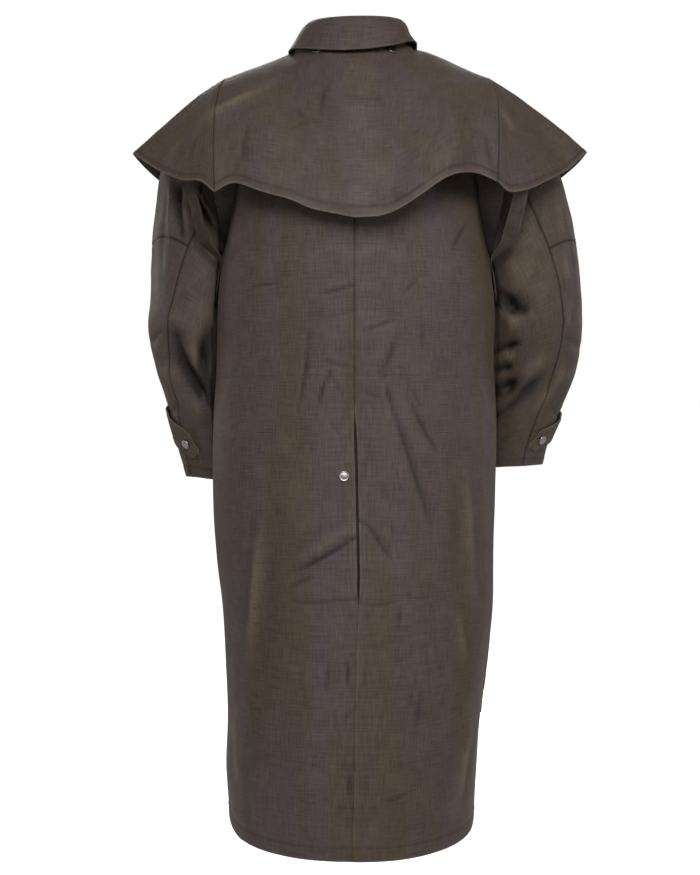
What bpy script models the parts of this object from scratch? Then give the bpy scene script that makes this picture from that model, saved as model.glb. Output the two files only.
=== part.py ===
"""Full-length duster coat with a shoulder cape, filled out and hollow, in metres with +Z up.

The coat hangs from the neck: the origin is the middle of the neck opening, level with the back of the
neckline seam. The front faces -Y, the back +Y, and the wearer's left is +X. Every cloth piece is a wall
with a true thickness, mapped from a flat grid onto the garment's own surface.
"""

import math

import bmesh
import bpy
import numpy as np
from mathutils import Matrix, Vector
from mathutils.bvhtree import BVHTree

CLOTH = 0.0016
COLLAR_CLOTH = 0.0020
SEAM_GAP = 0.0004

UNDERARM_Z = -0.320
HEM_Z = -1.222
VENT_TOP_Z = -0.563
ROUNDNESS = 2.3

NECK_HALF_WIDTH = 0.088
NECK_BACK = 0.078
NECK_FRONT = 0.100
NECK_SIDE_RISE = 0.022
NECK_FRONT_DROP = 0.055
NECK_SHARE = 0.38
SHOULDER_Z = -0.038
SHOULDER_X = {1: 0.222, -1: 0.236}

FRONT_OVERLAP = 0.030
FLAP_LIFT = 0.0030
SLEEVE_CLEARANCE = 0.0055
STRAP_CLEARANCE = 0.0028
RING_HALF_WIDTH = 0.2
ARMHOLE_GAP = 0.0017

CAP_RADIUS = 0.0078
CAP_HEIGHT = 0.0024
SNAP_SEAT = 0.0003
VENT_SNAP_X, VENT_SNAP_Z = 0.0155, -0.670
CAPE_SNAP_AT = {1: (0.157, 0.095), -1: (0.165, 0.095)}

# Torso rings from the underarm to the hem: height, half widths to the wearer's left and right, and
# half depths to the back and the front.
TORSO = (
    (-0.320, 0.216, 0.222, 0.165, 0.150),
    (-0.386, 0.222, 0.229, 0.168, 0.152),
    (-0.501, 0.225, 0.229, 0.168, 0.150),
    (-0.582, 0.229, 0.233, 0.172, 0.150),
    (-0.698, 0.230, 0.230, 0.182, 0.153),
    (-0.797, 0.224, 0.227, 0.193, 0.158),
    (-0.880, 0.217, 0.227, 0.203, 0.165),
    (-0.970, 0.212, 0.219, 0.215, 0.175),
    (-1.044, 0.209, 0.209, 0.226, 0.185),
    (-1.143, 0.211, 0.200, 0.242, 0.198),
    (-1.222, 0.203, 0.194, 0.254, 0.208),
)

# Sleeve rings from the armhole to the cuff, for each side: the outermost point, the innermost point,
# and the half depth to the back and to the front. The right sleeve hangs further from the body.
SLEEVES = {
    1: (
        ((0.252, 0.000, -0.058), (0.222, -0.004, -0.329), 0.040, 0.052),
        ((0.290, 0.000, -0.100), (0.227, -0.025, -0.352), 0.066, 0.072),
        ((0.314, 0.000, -0.165), (0.225, -0.045, -0.378), 0.082, 0.084),
        ((0.323, -0.002, -0.235), (0.222, -0.055, -0.402), 0.088, 0.088),
        ((0.329, -0.006, -0.310), (0.220, -0.060, -0.430), 0.090, 0.086),
        ((0.334, -0.012, -0.380), (0.218, -0.068, -0.465), 0.090, 0.082),
        ((0.338, -0.022, -0.432), (0.214, -0.078, -0.500), 0.088, 0.078),
        ((0.330, -0.036, -0.490), (0.208, -0.090, -0.540), 0.083, 0.072),
        ((0.313, -0.056, -0.553), (0.204, -0.102, -0.588), 0.074, 0.064),
        ((0.300, -0.082, -0.625), (0.190, -0.122, -0.643), 0.063, 0.057),
        ((0.289, -0.102, -0.679), (0.177, -0.136, -0.691), 0.056, 0.052),
    ),
    -1: (
        ((-0.266, 0.000, -0.058), (-0.228, -0.004, -0.329), 0.040, 0.052),
        ((-0.306, 0.000, -0.105), (-0.232, -0.025, -0.352), 0.064, 0.070),
        ((-0.336, 0.000, -0.170), (-0.230, -0.045, -0.378), 0.076, 0.078),
        ((-0.354, -0.002, -0.240), (-0.228, -0.055, -0.402), 0.080, 0.080),
        ((-0.368, -0.006, -0.315), (-0.226, -0.060, -0.432), 0.080, 0.078),
        ((-0.376, -0.012, -0.385), (-0.224, -0.066, -0.465), 0.078, 0.074),
        ((-0.377, -0.022, -0.440), (-0.222, -0.076, -0.502), 0.076, 0.070),
        ((-0.370, -0.036, -0.505), (-0.219, -0.088, -0.543), 0.072, 0.066),
        ((-0.350, -0.054, -0.560), (-0.216, -0.098, -0.582), 0.067, 0.061),
        ((-0.332, -0.074, -0.618), (-0.211, -0.110, -0.628), 0.060, 0.056),
        ((-0.324, -0.090, -0.658), (-0.208, -0.118, -0.665), 0.056, 0.053),
    ),
}
SLEEVE_RINGS = len(SLEEVES[1])
CROSS_SEAM = 0.36
UPPER_ROWS = 7
SLEEVE_ROWS = 18
# How far behind and in front of the outermost line the long sleeve seams run, in degrees.
BACK_SEAM_TURN = {1: ((0.0, 80), (0.4, 66), (0.6, 55), (0.8, 30), (1.0, 24)),
                  -1: ((0.0, 80), (0.4, 66), (0.6, 54), (0.8, 56), (1.0, 62))}
FRONT_SEAM_TURN = 75

# Cape hem from the centre back to the foot of the back seam, round the side to the front seam, and on
# to the centre front, for each side.
CAPE_BACK_HEM = {
    1: ((0.000, 0.197, -0.285), (0.030, 0.195, -0.279), (0.066, 0.190, -0.270), (0.097, 0.185, -0.256),
        (0.138, 0.176, -0.243), (0.182, 0.156, -0.226), (0.213, 0.155, -0.239)),
    -1: ((0.000, 0.197, -0.285), (-0.037, 0.198, -0.283), (-0.064, 0.200, -0.274), (-0.095, 0.204, -0.255),
         (-0.140, 0.196, -0.224), (-0.180, 0.170, -0.213), (-0.217, 0.162, -0.225)),
}
CAPE_SIDE_HEM = {
    1: ((0.213, 0.155, -0.239), (0.237, 0.140, -0.219), (0.263, 0.120, -0.214), (0.294, 0.090, -0.198),
        (0.335, 0.045, -0.170), (0.364, 0.000, -0.145), (0.358, -0.040, -0.152), (0.335, -0.095, -0.170),
        (0.295, -0.140, -0.197), (0.250, -0.165, -0.222), (0.207, -0.175, -0.236)),
    -1: ((-0.217, 0.162, -0.225), (-0.236, 0.134, -0.234), (-0.270, 0.110, -0.226), (-0.307, 0.080, -0.205),
         (-0.351, 0.032, -0.175), (-0.383, 0.000, -0.143), (-0.378, -0.040, -0.150), (-0.352, -0.095, -0.169),
         (-0.310, -0.140, -0.196), (-0.262, -0.165, -0.222), (-0.214, -0.175, -0.236)),
}
CAPE_FRONT_HEM = {
    1: ((0.207, -0.175, -0.236), (0.145, -0.186, -0.254), (0.080, -0.184, -0.266), (0.008, -0.176, -0.272)),
    -1: ((-0.214, -0.175, -0.236), (-0.150, -0.186, -0.254), (-0.080, -0.184, -0.266),
         (-0.008, -0.176, -0.272)),
}
CAPE_SHOULDER_X = {1: 0.205, -1: 0.216}
CAPE_SHOULDER_Z = -0.020
CAPE_POINT = 0.0015
CAPE_NECK_OUT = 0.008
CAPE_NECK_UP = 0.003

# Collar profile: share of the way from the neck seam over the fold to the leaf's edge, then how far
# out of the neckline and how far above it, at the back, at the side and at the front.
COLLAR = (
    (0.00, -0.0010, 0.0008, -0.0010, 0.0008, -0.0030, 0.0026),
    (0.20, -0.0060, 0.0240, -0.0060, 0.0170, -0.0020, 0.0070),
    (0.38, -0.0090, 0.0450, -0.0130, 0.0340, -0.0040, 0.0140),
    (0.50, -0.0030, 0.0540, -0.0100, 0.0420, 0.0040, 0.0190),
    (0.62, 0.0070, 0.0470, -0.0010, 0.0350, 0.0130, 0.0130),
    (0.80, 0.0180, 0.0210, 0.0120, 0.0180, 0.0270, -0.0040),
    (1.00, 0.0280, -0.0075, 0.0215, 0.0075, 0.0420, -0.0240),
)
COLLAR_END_DEGREES = 172

# Underarm straps of the cape, from its back edge under the arm to its front edge, for the wearer's
# left: the middle of the band and the direction of its width. Both ends are sewn inside the cape's
# side piece, at these shares of its width and of its length.
STRAP_SEWN_BACK = {1: (0.160, 0.95), -1: (0.140, 0.95)}
STRAP_SEWN_FRONT = {1: (0.835, 0.95), -1: (0.850, 0.95)}
STRAP_UNDER_CAPE = 0.0019
STRAP = (
    ((0.252, 0.098, -0.240), (0.90, -0.30, -0.30)),
    ((0.243, 0.088, -0.280), (0.70, -0.30, -0.55)),
    ((0.231, 0.058, -0.322), (0.30, -0.40, -0.80)),
    ((0.2225, 0.024, -0.352), (0.00, -0.30, -0.95)),
    ((0.2225, -0.012, -0.365), (0.00, 0.00, -1.00)),
    ((0.2160, -0.055, -0.352), (0.05, 0.45, -0.90)),
    ((0.2200, -0.098, -0.310), (0.30, 0.60, -0.70)),
    ((0.2440, -0.124, -0.262), (0.75, 0.50, -0.20)),
)
TAB_START, TAB_SWEEP = 55, 108
TAB_SNAP_AT = 0.80
TAB_SEAT = 0.0006
TAB_BOW = 0.0045
TAB_WIDTH = 0.062
STRAP_WIDTH = 0.024
STRAP_SHIFT = {1: 0.0, -1: 0.0063}

FRONT_SNAP_HEIGHTS = (-0.30, -0.42, -0.54, -0.66, -0.78, -0.90)

SKIN = {
    "oilskin_back": (0.075, 0.058, 0.052),
    "oilskin_front": (0.072, 0.056, 0.050),
    "oilskin_sleeve": (0.068, 0.053, 0.046),
    "oilskin_cape": (0.080, 0.061, 0.056),
    "oilskin_collar": (0.078, 0.060, 0.056),
    "oilskin_trim": (0.062, 0.048, 0.042),
}


def clear_scene():
    for obj in list(bpy.data.objects):
        bpy.data.objects.remove(obj, do_unlink=True)


def make_material(name, colour, roughness, metallic=0.0):
    material = bpy.data.materials.new(name)
    material.use_nodes = True
    shader = material.node_tree.nodes["Principled BSDF"]
    shader.inputs["Base Color"].default_value = (*colour, 1.0)
    shader.inputs["Roughness"].default_value = roughness
    shader.inputs["Metallic"].default_value = metallic
    return material


def smooth_values(knots, values, at):
    """A smooth curve through a table: rows of values at rising knots, read at the places given."""
    knots = np.asarray(knots, float)
    values = np.asarray(values, float)
    if values.ndim == 1:
        values = values[:, None]
    at = np.asarray(at, float)
    slopes = np.gradient(values, knots, axis=0)
    index = np.clip(np.searchsorted(knots, at, side="right") - 1, 0, len(knots) - 2)
    span = (knots[index + 1] - knots[index])[:, None]
    t = (at[:, None] - knots[index][:, None]) / span
    inside = np.clip(t, 0.0, 1.0)
    first = values[index] * (2 * inside**3 - 3 * inside**2 + 1)
    second = values[index + 1] * (3 * inside**2 - 2 * inside**3)
    lean = span * (slopes[index] * (inside**3 - 2 * inside**2 + inside))
    reach = span * (slopes[index + 1] * (inside**3 - inside**2))
    past = span * (t - inside) * np.where(t > 0.5, slopes[index + 1], slopes[index])
    return first + second + lean + reach + past


def ease(x, start, stop):
    """0 before start, 1 after stop and smooth between; start may lie above stop."""
    t = np.clip((np.asarray(x, float) - start) / (stop - start), 0.0, 1.0)
    return t * t * (3 - 2 * t)


def bent(first, second, third, fourth, t):
    """Points along a cubic curve with two pulls, for rows of points and places t."""
    t = t[:, None]
    return (first * (1 - t) ** 3 + 3 * second * t * (1 - t) ** 2
            + 3 * third * t * t * (1 - t) + fourth * t**3)


def signed_power(x, power):
    return np.sign(x) * np.abs(x) ** power


def normals_of(surface, u, v, step=2e-4):
    along_u = surface(u + step, v) - surface(u - step, v)
    along_v = surface(u, v + step) - surface(u, v - step)
    cross = np.cross(along_u, along_v)
    return cross / np.linalg.norm(cross, axis=1, keepdims=True)


def unit(vectors):
    return vectors / np.linalg.norm(vectors, axis=1, keepdims=True)


def points(x, y, z):
    return np.stack([x, y, z], axis=1)


def neckline(angle):
    """The neck seam: angle 0 is the centre back, positive towards the wearer's left, in radians."""
    depth = np.where(np.cos(angle) > 0, NECK_BACK, NECK_FRONT)
    drop = np.where(np.cos(angle) > 0, 0.0, NECK_FRONT_DROP)
    rise = NECK_SIDE_RISE * np.sin(angle) ** 2 - drop * np.cos(angle) ** 2
    return points(NECK_HALF_WIDTH * np.sin(angle), depth * np.cos(angle), rise)


def torso_ring(q, z, back):
    """The skirt and chest below the armholes: q runs from -1 at the right side seam over the centre."""
    rows = np.array(TORSO)[::-1]
    left, right, behind, before = smooth_values(rows[:, 0], rows[:, 1:], z).T
    turn = q * math.pi / 2
    width = np.where(q > 0, left, right)
    depth = behind if back else -before
    x = width * signed_power(np.sin(turn), 2 / ROUNDNESS)
    y = depth * signed_power(np.cos(turn), 2 / ROUNDNESS)
    return points(x, y, z)


def shoulder_line(q, back, side_x, side_z, out, up):
    """Top edge of a front or back: the neckline to its side point, then out along the shoulder."""
    share = np.abs(q)
    side = np.where(q > 0, 1.0, -1.0)
    at_neck = np.clip(share / NECK_SHARE, 0.0, 1.0) * math.pi / 2
    angle = side * (at_neck if back else math.pi - at_neck)
    neck = neckline(angle)
    neck += out * points(np.sin(angle), np.cos(angle), 0 * angle)
    neck[:, 2] += up
    along = np.clip((share - NECK_SHARE) / (1 - NECK_SHARE), 0.0, None)[:, None]
    tip = points(side * np.where(q > 0, side_x[1], side_x[-1]), 0 * q, side_z + 0 * q)
    return neck + along * (tip - neck)


def chest(q, t, back):
    """Front or back above the underarm: t runs from the underarm level to the shoulder and neck."""
    face = 1.0 if back else -1.0
    side = np.where(q > 0, 1.0, -1.0)
    share = np.abs(q)
    cube = share**3
    low = torso_ring(q, UNDERARM_Z + 0 * q, back)
    top = shoulder_line(q, back, SHOULDER_X, SHOULDER_Z, 0.0, 0.0)
    rise = 0.11 - 0.05 * share
    low_pull = low + points(-0.043 * cube * side, face * (0.008 * (1 - share) + 0.078 * cube), rise)
    spread = (0.062 if back else 0.040) + (0.012 + 0.016 * back) * np.sin(math.pi * share)
    fall = (0.055 if back else 0.080) + 0.012 * share
    top_pull = top + points(-0.040 * cube * side, face * spread, -fall)
    return bent(low, low_pull, top_pull, top, t)


BELOW = 0.70


def body_surface(back):
    """The whole front or back: u is q, and v runs from the hem through the underarm to the top."""
    def surface(q, v):
        low_share = np.clip(v / BELOW, None, 1.0)
        low = torso_ring(q, HEM_Z + low_share * (UNDERARM_Z - HEM_Z), back)
        high = chest(q, np.clip((v - BELOW) / (1 - BELOW), 0.0, None), back)
        return np.where((v <= BELOW)[:, None], low, high)
    return surface


def height_share(z):
    """The v of a height below the underarm."""
    return BELOW * (z - HEM_Z) / (UNDERARM_Z - HEM_Z)


def body_direction(back):
    """Which way a body wall faces: square to the cloth, and straight up where front meets back."""
    surface = body_surface(back)

    def direction(q, v):
        facing = normals_of(surface, q, v)
        facing *= np.sign(np.sum(facing * points(0 * q, (1.0 if back else -1.0) + 0 * q, 0.3 + 0 * q),
                                 axis=1))[:, None]
        outward = points(np.sign(q) * ease(np.abs(q), 0.96, 1.0), 0 * q, 0 * q)
        seam = ease(v, 0.90, 1.0)[:, None] * ease(np.abs(q), NECK_SHARE - 0.1, NECK_SHARE)[:, None]
        level = points(np.sign(q) * 0.42, 0 * q, 1 + 0 * q)
        below = (v < BELOW)[:, None]
        return unit(np.where(below, facing + 4 * outward, facing * (1 - seam) + level * seam))
    return direction


def make_wall(name, place, cells, thickness, material, collection):
    """A closed cloth wall: place(u, v, depth) gives the points of a slab that starts as a flat grid."""
    mesh = bpy.data.meshes.new(name)
    work = bmesh.new()
    bmesh.ops.create_grid(work, x_segments=cells[0], y_segments=cells[1], size=0.5)
    made = bmesh.ops.extrude_face_region(work, geom=work.faces[:], use_keep_orig=True)
    new = [item for item in made["geom"] if isinstance(item, bmesh.types.BMVert)]
    bmesh.ops.translate(work, verts=new, vec=(0, 0, -1))
    flat = np.array([vert.co[:] for vert in work.verts])
    placed = place(flat[:, 0] + 0.5, flat[:, 1] + 0.5, -flat[:, 2] * thickness)
    for vert, point in zip(work.verts, placed):
        vert.co = point
    bmesh.ops.recalc_face_normals(work, faces=work.faces[:])
    if work.calc_volume(signed=True) < 0:
        bmesh.ops.reverse_faces(work, faces=work.faces[:])
    work.to_mesh(mesh)
    work.free()
    mesh.shade_smooth()
    mesh.set_sharp_from_angle(angle=math.radians(50))
    mesh.materials.append(material)
    obj = bpy.data.objects.new(name, mesh)
    collection.objects.link(obj)
    return obj


def slit_x(z):
    """Where the vent's slit runs, in x, from its top at the waist to the hem."""
    knots = (HEM_Z, -1.09, -0.93, -0.817, -0.74, -0.66, VENT_TOP_Z, 0.1)
    wander = (0.003, 0.000, -0.003, -0.006, -0.0045, -0.003, 0.0, 0.0)
    return np.interp(z, knots, wander)


def q_of_x(x, width):
    return np.sign(x) * 2 / math.pi * np.arcsin(np.clip(np.abs(x) / width, 0, 1) ** (ROUNDNESS / 2))


def back_place(side):
    """A back half: it parts from the other at the vent, where the right one laps over below."""
    surface = body_surface(True)
    direction = body_direction(True)

    def place(u, v, depth):
        z = HEM_Z + np.clip(v / BELOW, None, 1.0) * (UNDERARM_Z - HEM_Z)
        lap = ease(z, -0.83, -0.93)
        raised = ease(z, -0.76, -0.84)
        open_gap = SEAM_GAP / 2 + 0.0012 * ease(z, VENT_TOP_Z, VENT_TOP_Z - 0.03)
        edge = slit_x(z) + side * open_gap * (1 - lap)
        if side > 0:
            edge = edge - 0.014 * lap
        start = q_of_x(edge, 0.22)
        stop = side * (1 - 0.0002)
        q = start + (stop - start) * u
        v = np.clip(v, None, 1 - 0.0018)
        near_edge = ease(u, 0.36, 0.12)
        lift = (FLAP_LIFT if side < 0 else 0.0) * raised * near_edge
        facing = direction(q, v)
        return surface(q, v) + facing * (lift - depth)[:, None]
    return place


def front_place(side):
    """A front half: the wearer's left one laps over the right one down the centre."""
    surface = body_surface(False)
    direction = body_direction(False)

    def place(u, v, depth):
        start = q_of_x(-side * FRONT_OVERLAP + 0 * u, 0.22)
        taper = ease(v, 1.0, 0.8)
        start = start * (0.25 + 0.75 * taper)
        stop = side * (1 - 0.0002)
        q = start + (stop - start) * u
        v = np.clip(v, None, 1 - 0.0018)
        lift = (FLAP_LIFT if side > 0 else 0.0) * ease(u, 0.45, 0.20)
        return surface(q, v) + direction(q, v) * (lift - depth)[:, None]
    return place


def armhole(side, turn):
    """The armhole loop: turn 0 is the underarm, half a turn the shoulder point, by way of the back."""
    share = np.where(turn <= math.pi, turn, 2 * math.pi - turn) / math.pi
    q = side * (1 + 0 * turn)
    v = BELOW + share * (1 - BELOW)
    behind, before = body_surface(True), body_surface(False)
    backwards = (turn <= math.pi)[:, None]
    edge = np.where(backwards, behind(q, v), before(q, v))
    away = edge - np.where(backwards, behind(q - side * 0.02, v), before(q - side * 0.02, v))
    at_foot = ease(share, 0.12, 0.0)[:, None]
    away = unit(unit(away) * (1 - at_foot) + points(0.5 * side + 0 * q, 0 * q, -1 + 0 * q) * at_foot)
    return edge + away * ARMHOLE_GAP


def armhole_direction(side, turn):
    share = np.where(turn <= math.pi, turn, 2 * math.pi - turn) / math.pi
    q = side * (1 + 0 * turn)
    v = BELOW + 0.001 + share * (1 - BELOW)
    behind = body_direction(True)(q, v)
    before = body_direction(False)(q, v)
    mixed = np.where((turn <= math.pi)[:, None], behind, before)
    at_foot = ease(share, 0.12, 0.0)[:, None]
    return unit(mixed * (1 - at_foot) + points(side + 0 * turn, 0 * turn, 0 * turn) * at_foot)


def reach_of(placed):
    """How far out each point lies, as a share of the torso ring at its own height."""
    rows = np.array(TORSO)[::-1]
    level = np.minimum(placed[:, 2], UNDERARM_Z)
    left, right, behind, before = smooth_values(rows[:, 0], rows[:, 1:], level).T
    width = np.where(placed[:, 0] > 0, left, right)
    depth = np.where(placed[:, 1] > 0, behind, before)
    return (np.abs(placed[:, 0] / width) ** ROUNDNESS
            + np.abs(placed[:, 1] / depth) ** ROUNDNESS) ** (1 / ROUNDNESS)


def clear_of_torso(placed, share):
    """Sleeve points pressed outwards where the sleeve lies against the side of the coat."""
    reach = reach_of(placed)
    least = 1 + SLEEVE_CLEARANCE / RING_HALF_WIDTH
    pressed = (reach + least + np.sqrt((reach - least) ** 2 + 0.03**2)) / 2
    scale = 1 + (pressed / reach - 1) * share
    return placed * points(scale, scale, 1 + 0 * scale)


def sleeve_surface(side):
    """The sleeve tube: turn runs round it from the inner line by the back, s from armhole to cuff."""
    outer = np.array([row[0] for row in SLEEVES[side]])
    inner = np.array([row[1] for row in SLEEVES[side]])
    depths = np.array([row[2:] for row in SLEEVES[side]])
    knots = np.linspace(0.0, 1.0, SLEEVE_RINGS + 1)

    def surface(turn, s):
        rings = []
        wrapped = np.mod(turn, 2 * math.pi)
        rings.append(armhole(side, wrapped))
        for row in range(SLEEVE_RINGS):
            middle = (outer[row] + inner[row]) / 2
            reach = (outer[row] - inner[row]) / 2
            across = np.cross(reach, (0.0, 0.0, 1.0))
            across *= np.sign(across[1]) / np.linalg.norm(across)
            depth = np.where(np.sin(turn) > 0, depths[row, 0], depths[row, 1])
            rings.append(middle - np.cos(turn)[:, None] * reach
                         + (np.sin(turn) * depth)[:, None] * across)
        stack = np.stack(rings)
        slopes = np.gradient(stack, knots, axis=0)
        index = np.clip(np.searchsorted(knots, s, side="right") - 1, 0, SLEEVE_RINGS - 1)
        span = 1.0 / SLEEVE_RINGS
        t = (s / span - index)[:, None]
        row = np.arange(len(s))
        low, high = stack[index, row], stack[index + 1, row]
        low_slope, high_slope = slopes[index, row] * span, slopes[index + 1, row] * span
        placed = (low * (2 * t**3 - 3 * t**2 + 1) + high * (3 * t**2 - 2 * t**3)
                  + low_slope * (t**3 - 2 * t**2 + t) + high_slope * (t**3 - t**2))
        return clear_of_torso(placed, ease(s, 0.0, 0.07))
    return surface


def sleeve_direction(side):
    surface = sleeve_surface(side)
    mouth = 1.0 / SLEEVE_RINGS

    def direction(turn, s):
        own = normals_of(surface, turn, np.clip(s, 0.001, 0.999))
        middle = surface(turn, s) + surface(turn + math.pi, s)
        outward = surface(turn, s) - middle / 2
        own *= np.sign(np.sum(own * outward, axis=1))[:, None]
        shared = ease(s, 0.6 * mouth, 0.0)[:, None]
        return unit(own * (1 - shared) + armhole_direction(side, np.mod(turn, 2 * math.pi)) * shared)
    return direction


def seam_turn(side, s, back):
    """Where a long sleeve seam runs, as a turn round the sleeve."""
    if not back:
        return math.pi + math.radians(FRONT_SEAM_TURN) + 0 * s
    rows = np.array(BACK_SEAM_TURN[side])
    return math.pi - np.radians(np.interp(s, rows[:, 0], rows[:, 1]))


def sleeve_place(side, part):
    surface = sleeve_surface(side)
    direction = sleeve_direction(side)
    gap = SEAM_GAP / 2 / 0.07
    end_gap = SEAM_GAP / 2 / 0.65

    def place(u, v, depth):
        low, high = {"upper": (0.0016, CROSS_SEAM - end_gap), "lower": (CROSS_SEAM + end_gap, 1.0),
                     "under": (0.0016, 1.0)}[part]
        s = low + (high - low) * v
        if part == "under":
            s = np.interp(v, (0.0, UPPER_ROWS / SLEEVE_ROWS, 1.0), (low, CROSS_SEAM, high))
        back_seam, front_seam = seam_turn(side, s, True), seam_turn(side, s, False)
        if part == "under":
            start, stop = front_seam + gap, back_seam + 2 * math.pi - gap
        else:
            start, stop = back_seam + gap, front_seam - gap
        turn = start + (stop - start) * u
        return surface(turn, s) - direction(turn, s) * depth[:, None]
    return place


def cape_panel(side, back):
    """Centre back half or front of the cape: share c from the centre to the seam, t from neck to hem."""
    face = 1.0 if back else -1.0
    hem = np.array(CAPE_BACK_HEM[side] if back else CAPE_FRONT_HEM[side][::-1])
    if not back:
        hem[0, 0] = 0.0
    knots = np.linspace(0, 1, len(hem))

    def surface(c, t):
        share = np.abs(c)
        flip = np.where(c < 0, -1.0, 1.0)
        low = smooth_values(knots, hem, share)
        top = shoulder_line(side * share, back, CAPE_SHOULDER_X, CAPE_SHOULDER_Z,
                            CAPE_NECK_OUT, CAPE_NECK_UP)
        top[:, 1] += face * CAPE_POINT * ease(share, NECK_SHARE, 1.0)
        wide = side * share
        if back:
            first = top + points(0.017 * wide, 0.036 + 0.018 * share, -0.031 + 0.014 * share)
        else:
            first = top + points(0.017 * wide, -0.034 - 0.020 * share, -0.040 + 0.023 * share)
        second = low + points(0.009 * wide, -face * (0.019 + 0.006 * share), 0.150 - 0.031 * share)
        result = bent(top, first, second, low, t)
        result[:, 0] *= flip
        return result
    return surface


def cape_side(side):
    """The shoulder piece of the cape: c from the back seam over the arm to the front seam."""
    hem = np.array(CAPE_SIDE_HEM[side])
    steps = np.linalg.norm(np.diff(hem, axis=0), axis=1)
    knots = np.concatenate([[0.0], np.cumsum(steps)]) / steps.sum()

    def surface(c, t):
        low = smooth_values(knots, hem, c)
        angle = (1 - 2 * c) * math.pi / 2
        top = points(side * (CAPE_SHOULDER_X[side] + CAPE_POINT * np.cos(angle)), CAPE_POINT * np.sin(angle),
                     CAPE_SHOULDER_Z + 0 * c)
        over = np.cos(angle)
        first = top + points(side * (0.017 + 0.019 * over), 0.054 * np.sin(angle), -0.017 + 0 * over)
        second = low + points(side * (0.009 - 0.067 * over), -0.025 * np.sin(angle), 0.119 - 0.064 * over)
        return bent(top, first, second, low, t)
    return surface


def facing_out(surface, u, v, middle):
    own = normals_of(surface, u, v)
    outward = surface(u, v) - np.asarray(middle)
    return own * np.sign(np.sum(own * outward, axis=1))[:, None]


CAPE_MIDDLE = (0.0, 0.0, -0.35)


def cape_panel_direction(side, back):
    surface = cape_panel(side, back)

    def direction(c, t):
        own = facing_out(surface, c, np.clip(t, 0.01, 1.0), CAPE_MIDDLE)
        ridge = ease(t, 0.15, 0.0)[:, None] * ease(np.abs(c), NECK_SHARE - 0.08, NECK_SHARE)[:, None]
        level = points(side * 0.42 + 0 * c, 0 * c, 1 + 0 * c)
        return unit(own * (1 - ridge) + level * ridge)
    return direction


def cape_back_place(u, v, depth):
    """The cape's centre back in one piece, from its right seam to its left one."""
    c = (2 * u - 1) * (1 - 0.0009)
    t = 0.001 + 0.999 * v
    placed = np.empty((len(u), 3))
    for side in (1, -1):
        mine = c >= 0 if side > 0 else c < 0
        share = np.abs(c[mine])
        placed[mine] = (cape_panel(side, True)(share, t[mine])
                        - cape_panel_direction(side, True)(share, t[mine]) * depth[mine][:, None])
    return placed


def cape_front_place(side):
    surface, direction = cape_panel(side, False), cape_panel_direction(side, False)

    def place(u, v, depth):
        c = 0.045 + (1 - 0.0009 - 0.045) * u
        t = 0.001 + 0.999 * v
        return surface(c, t) - direction(c, t) * depth[:, None]
    return place


def cape_side_place(side):
    surface = cape_side(side)

    def place(u, v, depth):
        c = 0.0006 + (1 - 0.0012) * u
        t = 0.004 + 0.996 * v
        own = facing_out(surface, c, t, CAPE_MIDDLE)
        shared_back = cape_panel_direction(side, True)(1 + 0 * c, t)
        shared_front = cape_panel_direction(side, False)(1 + 0 * c, t)
        near_back, near_front = ease(c, 0.10, 0.0)[:, None], ease(c, 0.90, 1.0)[:, None]
        near_top = ease(t, 0.15, 0.0)[:, None]
        facing = unit(own * (1 - near_back - near_front) + shared_back * near_back
                      + shared_front * near_front)
        level = points(side * 0.42 + 0 * c, 0 * c, 1 + 0 * c)
        facing = unit(facing * (1 - near_top) + level * near_top)
        return surface(c, t) - facing * depth[:, None]
    return place


def collar_surface(u, v):
    """Stand and leaf in one, folded at the top: u from the right front end round the back to the left."""
    angle = (2 * u - 1) * math.radians(COLLAR_END_DEGREES)
    rows = np.array(COLLAR)
    back_out, back_up, side_out, side_up, front_out, front_up = smooth_values(rows[:, 0], rows[:, 1:], v).T
    behind = np.clip(np.cos(angle), 0, 1) ** 2
    before = np.clip(-np.cos(angle), 0, 1) ** 2
    beside = 1 - behind - before
    out = back_out * behind + side_out * beside + front_out * before
    up = back_up * behind + side_up * beside + front_up * before
    placed = neckline(angle) + points(out * np.sin(angle), out * np.cos(angle), up)
    raised = ease(v, 0.0, 0.4)
    near_back = np.clip(1 + np.cos(angle), 0, 1)
    placed[:, 2] -= placed[:, 0] * raised * (0.02 + 0.04 * ease(v, 0.5, 1.0)) * near_back
    placed[:, 0] -= 0.003 * raised * near_back
    return placed


def collar_place(u, v, depth):
    facing = normals_of(collar_surface, u, np.clip(v, 0.002, 0.998))
    return collar_surface(u, v) + facing * depth[:, None]


def sewn_row(side, share, height):
    """The strap row sewn to the inside of the cape's side piece, in the strap's own left frame."""
    across = np.array([share - 0.01, share, share + 0.01])
    spots = cape_side_place(side)(across, height + 0 * across, CLOTH * 1.5 + STRAP_UNDER_CAPE + 0 * across)
    spots[:, 0] = side * spots[:, 0] - STRAP_SHIFT[side]
    way = unit(spots[2:] - spots[:1])[0] * (1 if spots[2, 0] > spots[0, 0] else -1)
    return [*spots[1], *way]


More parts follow.
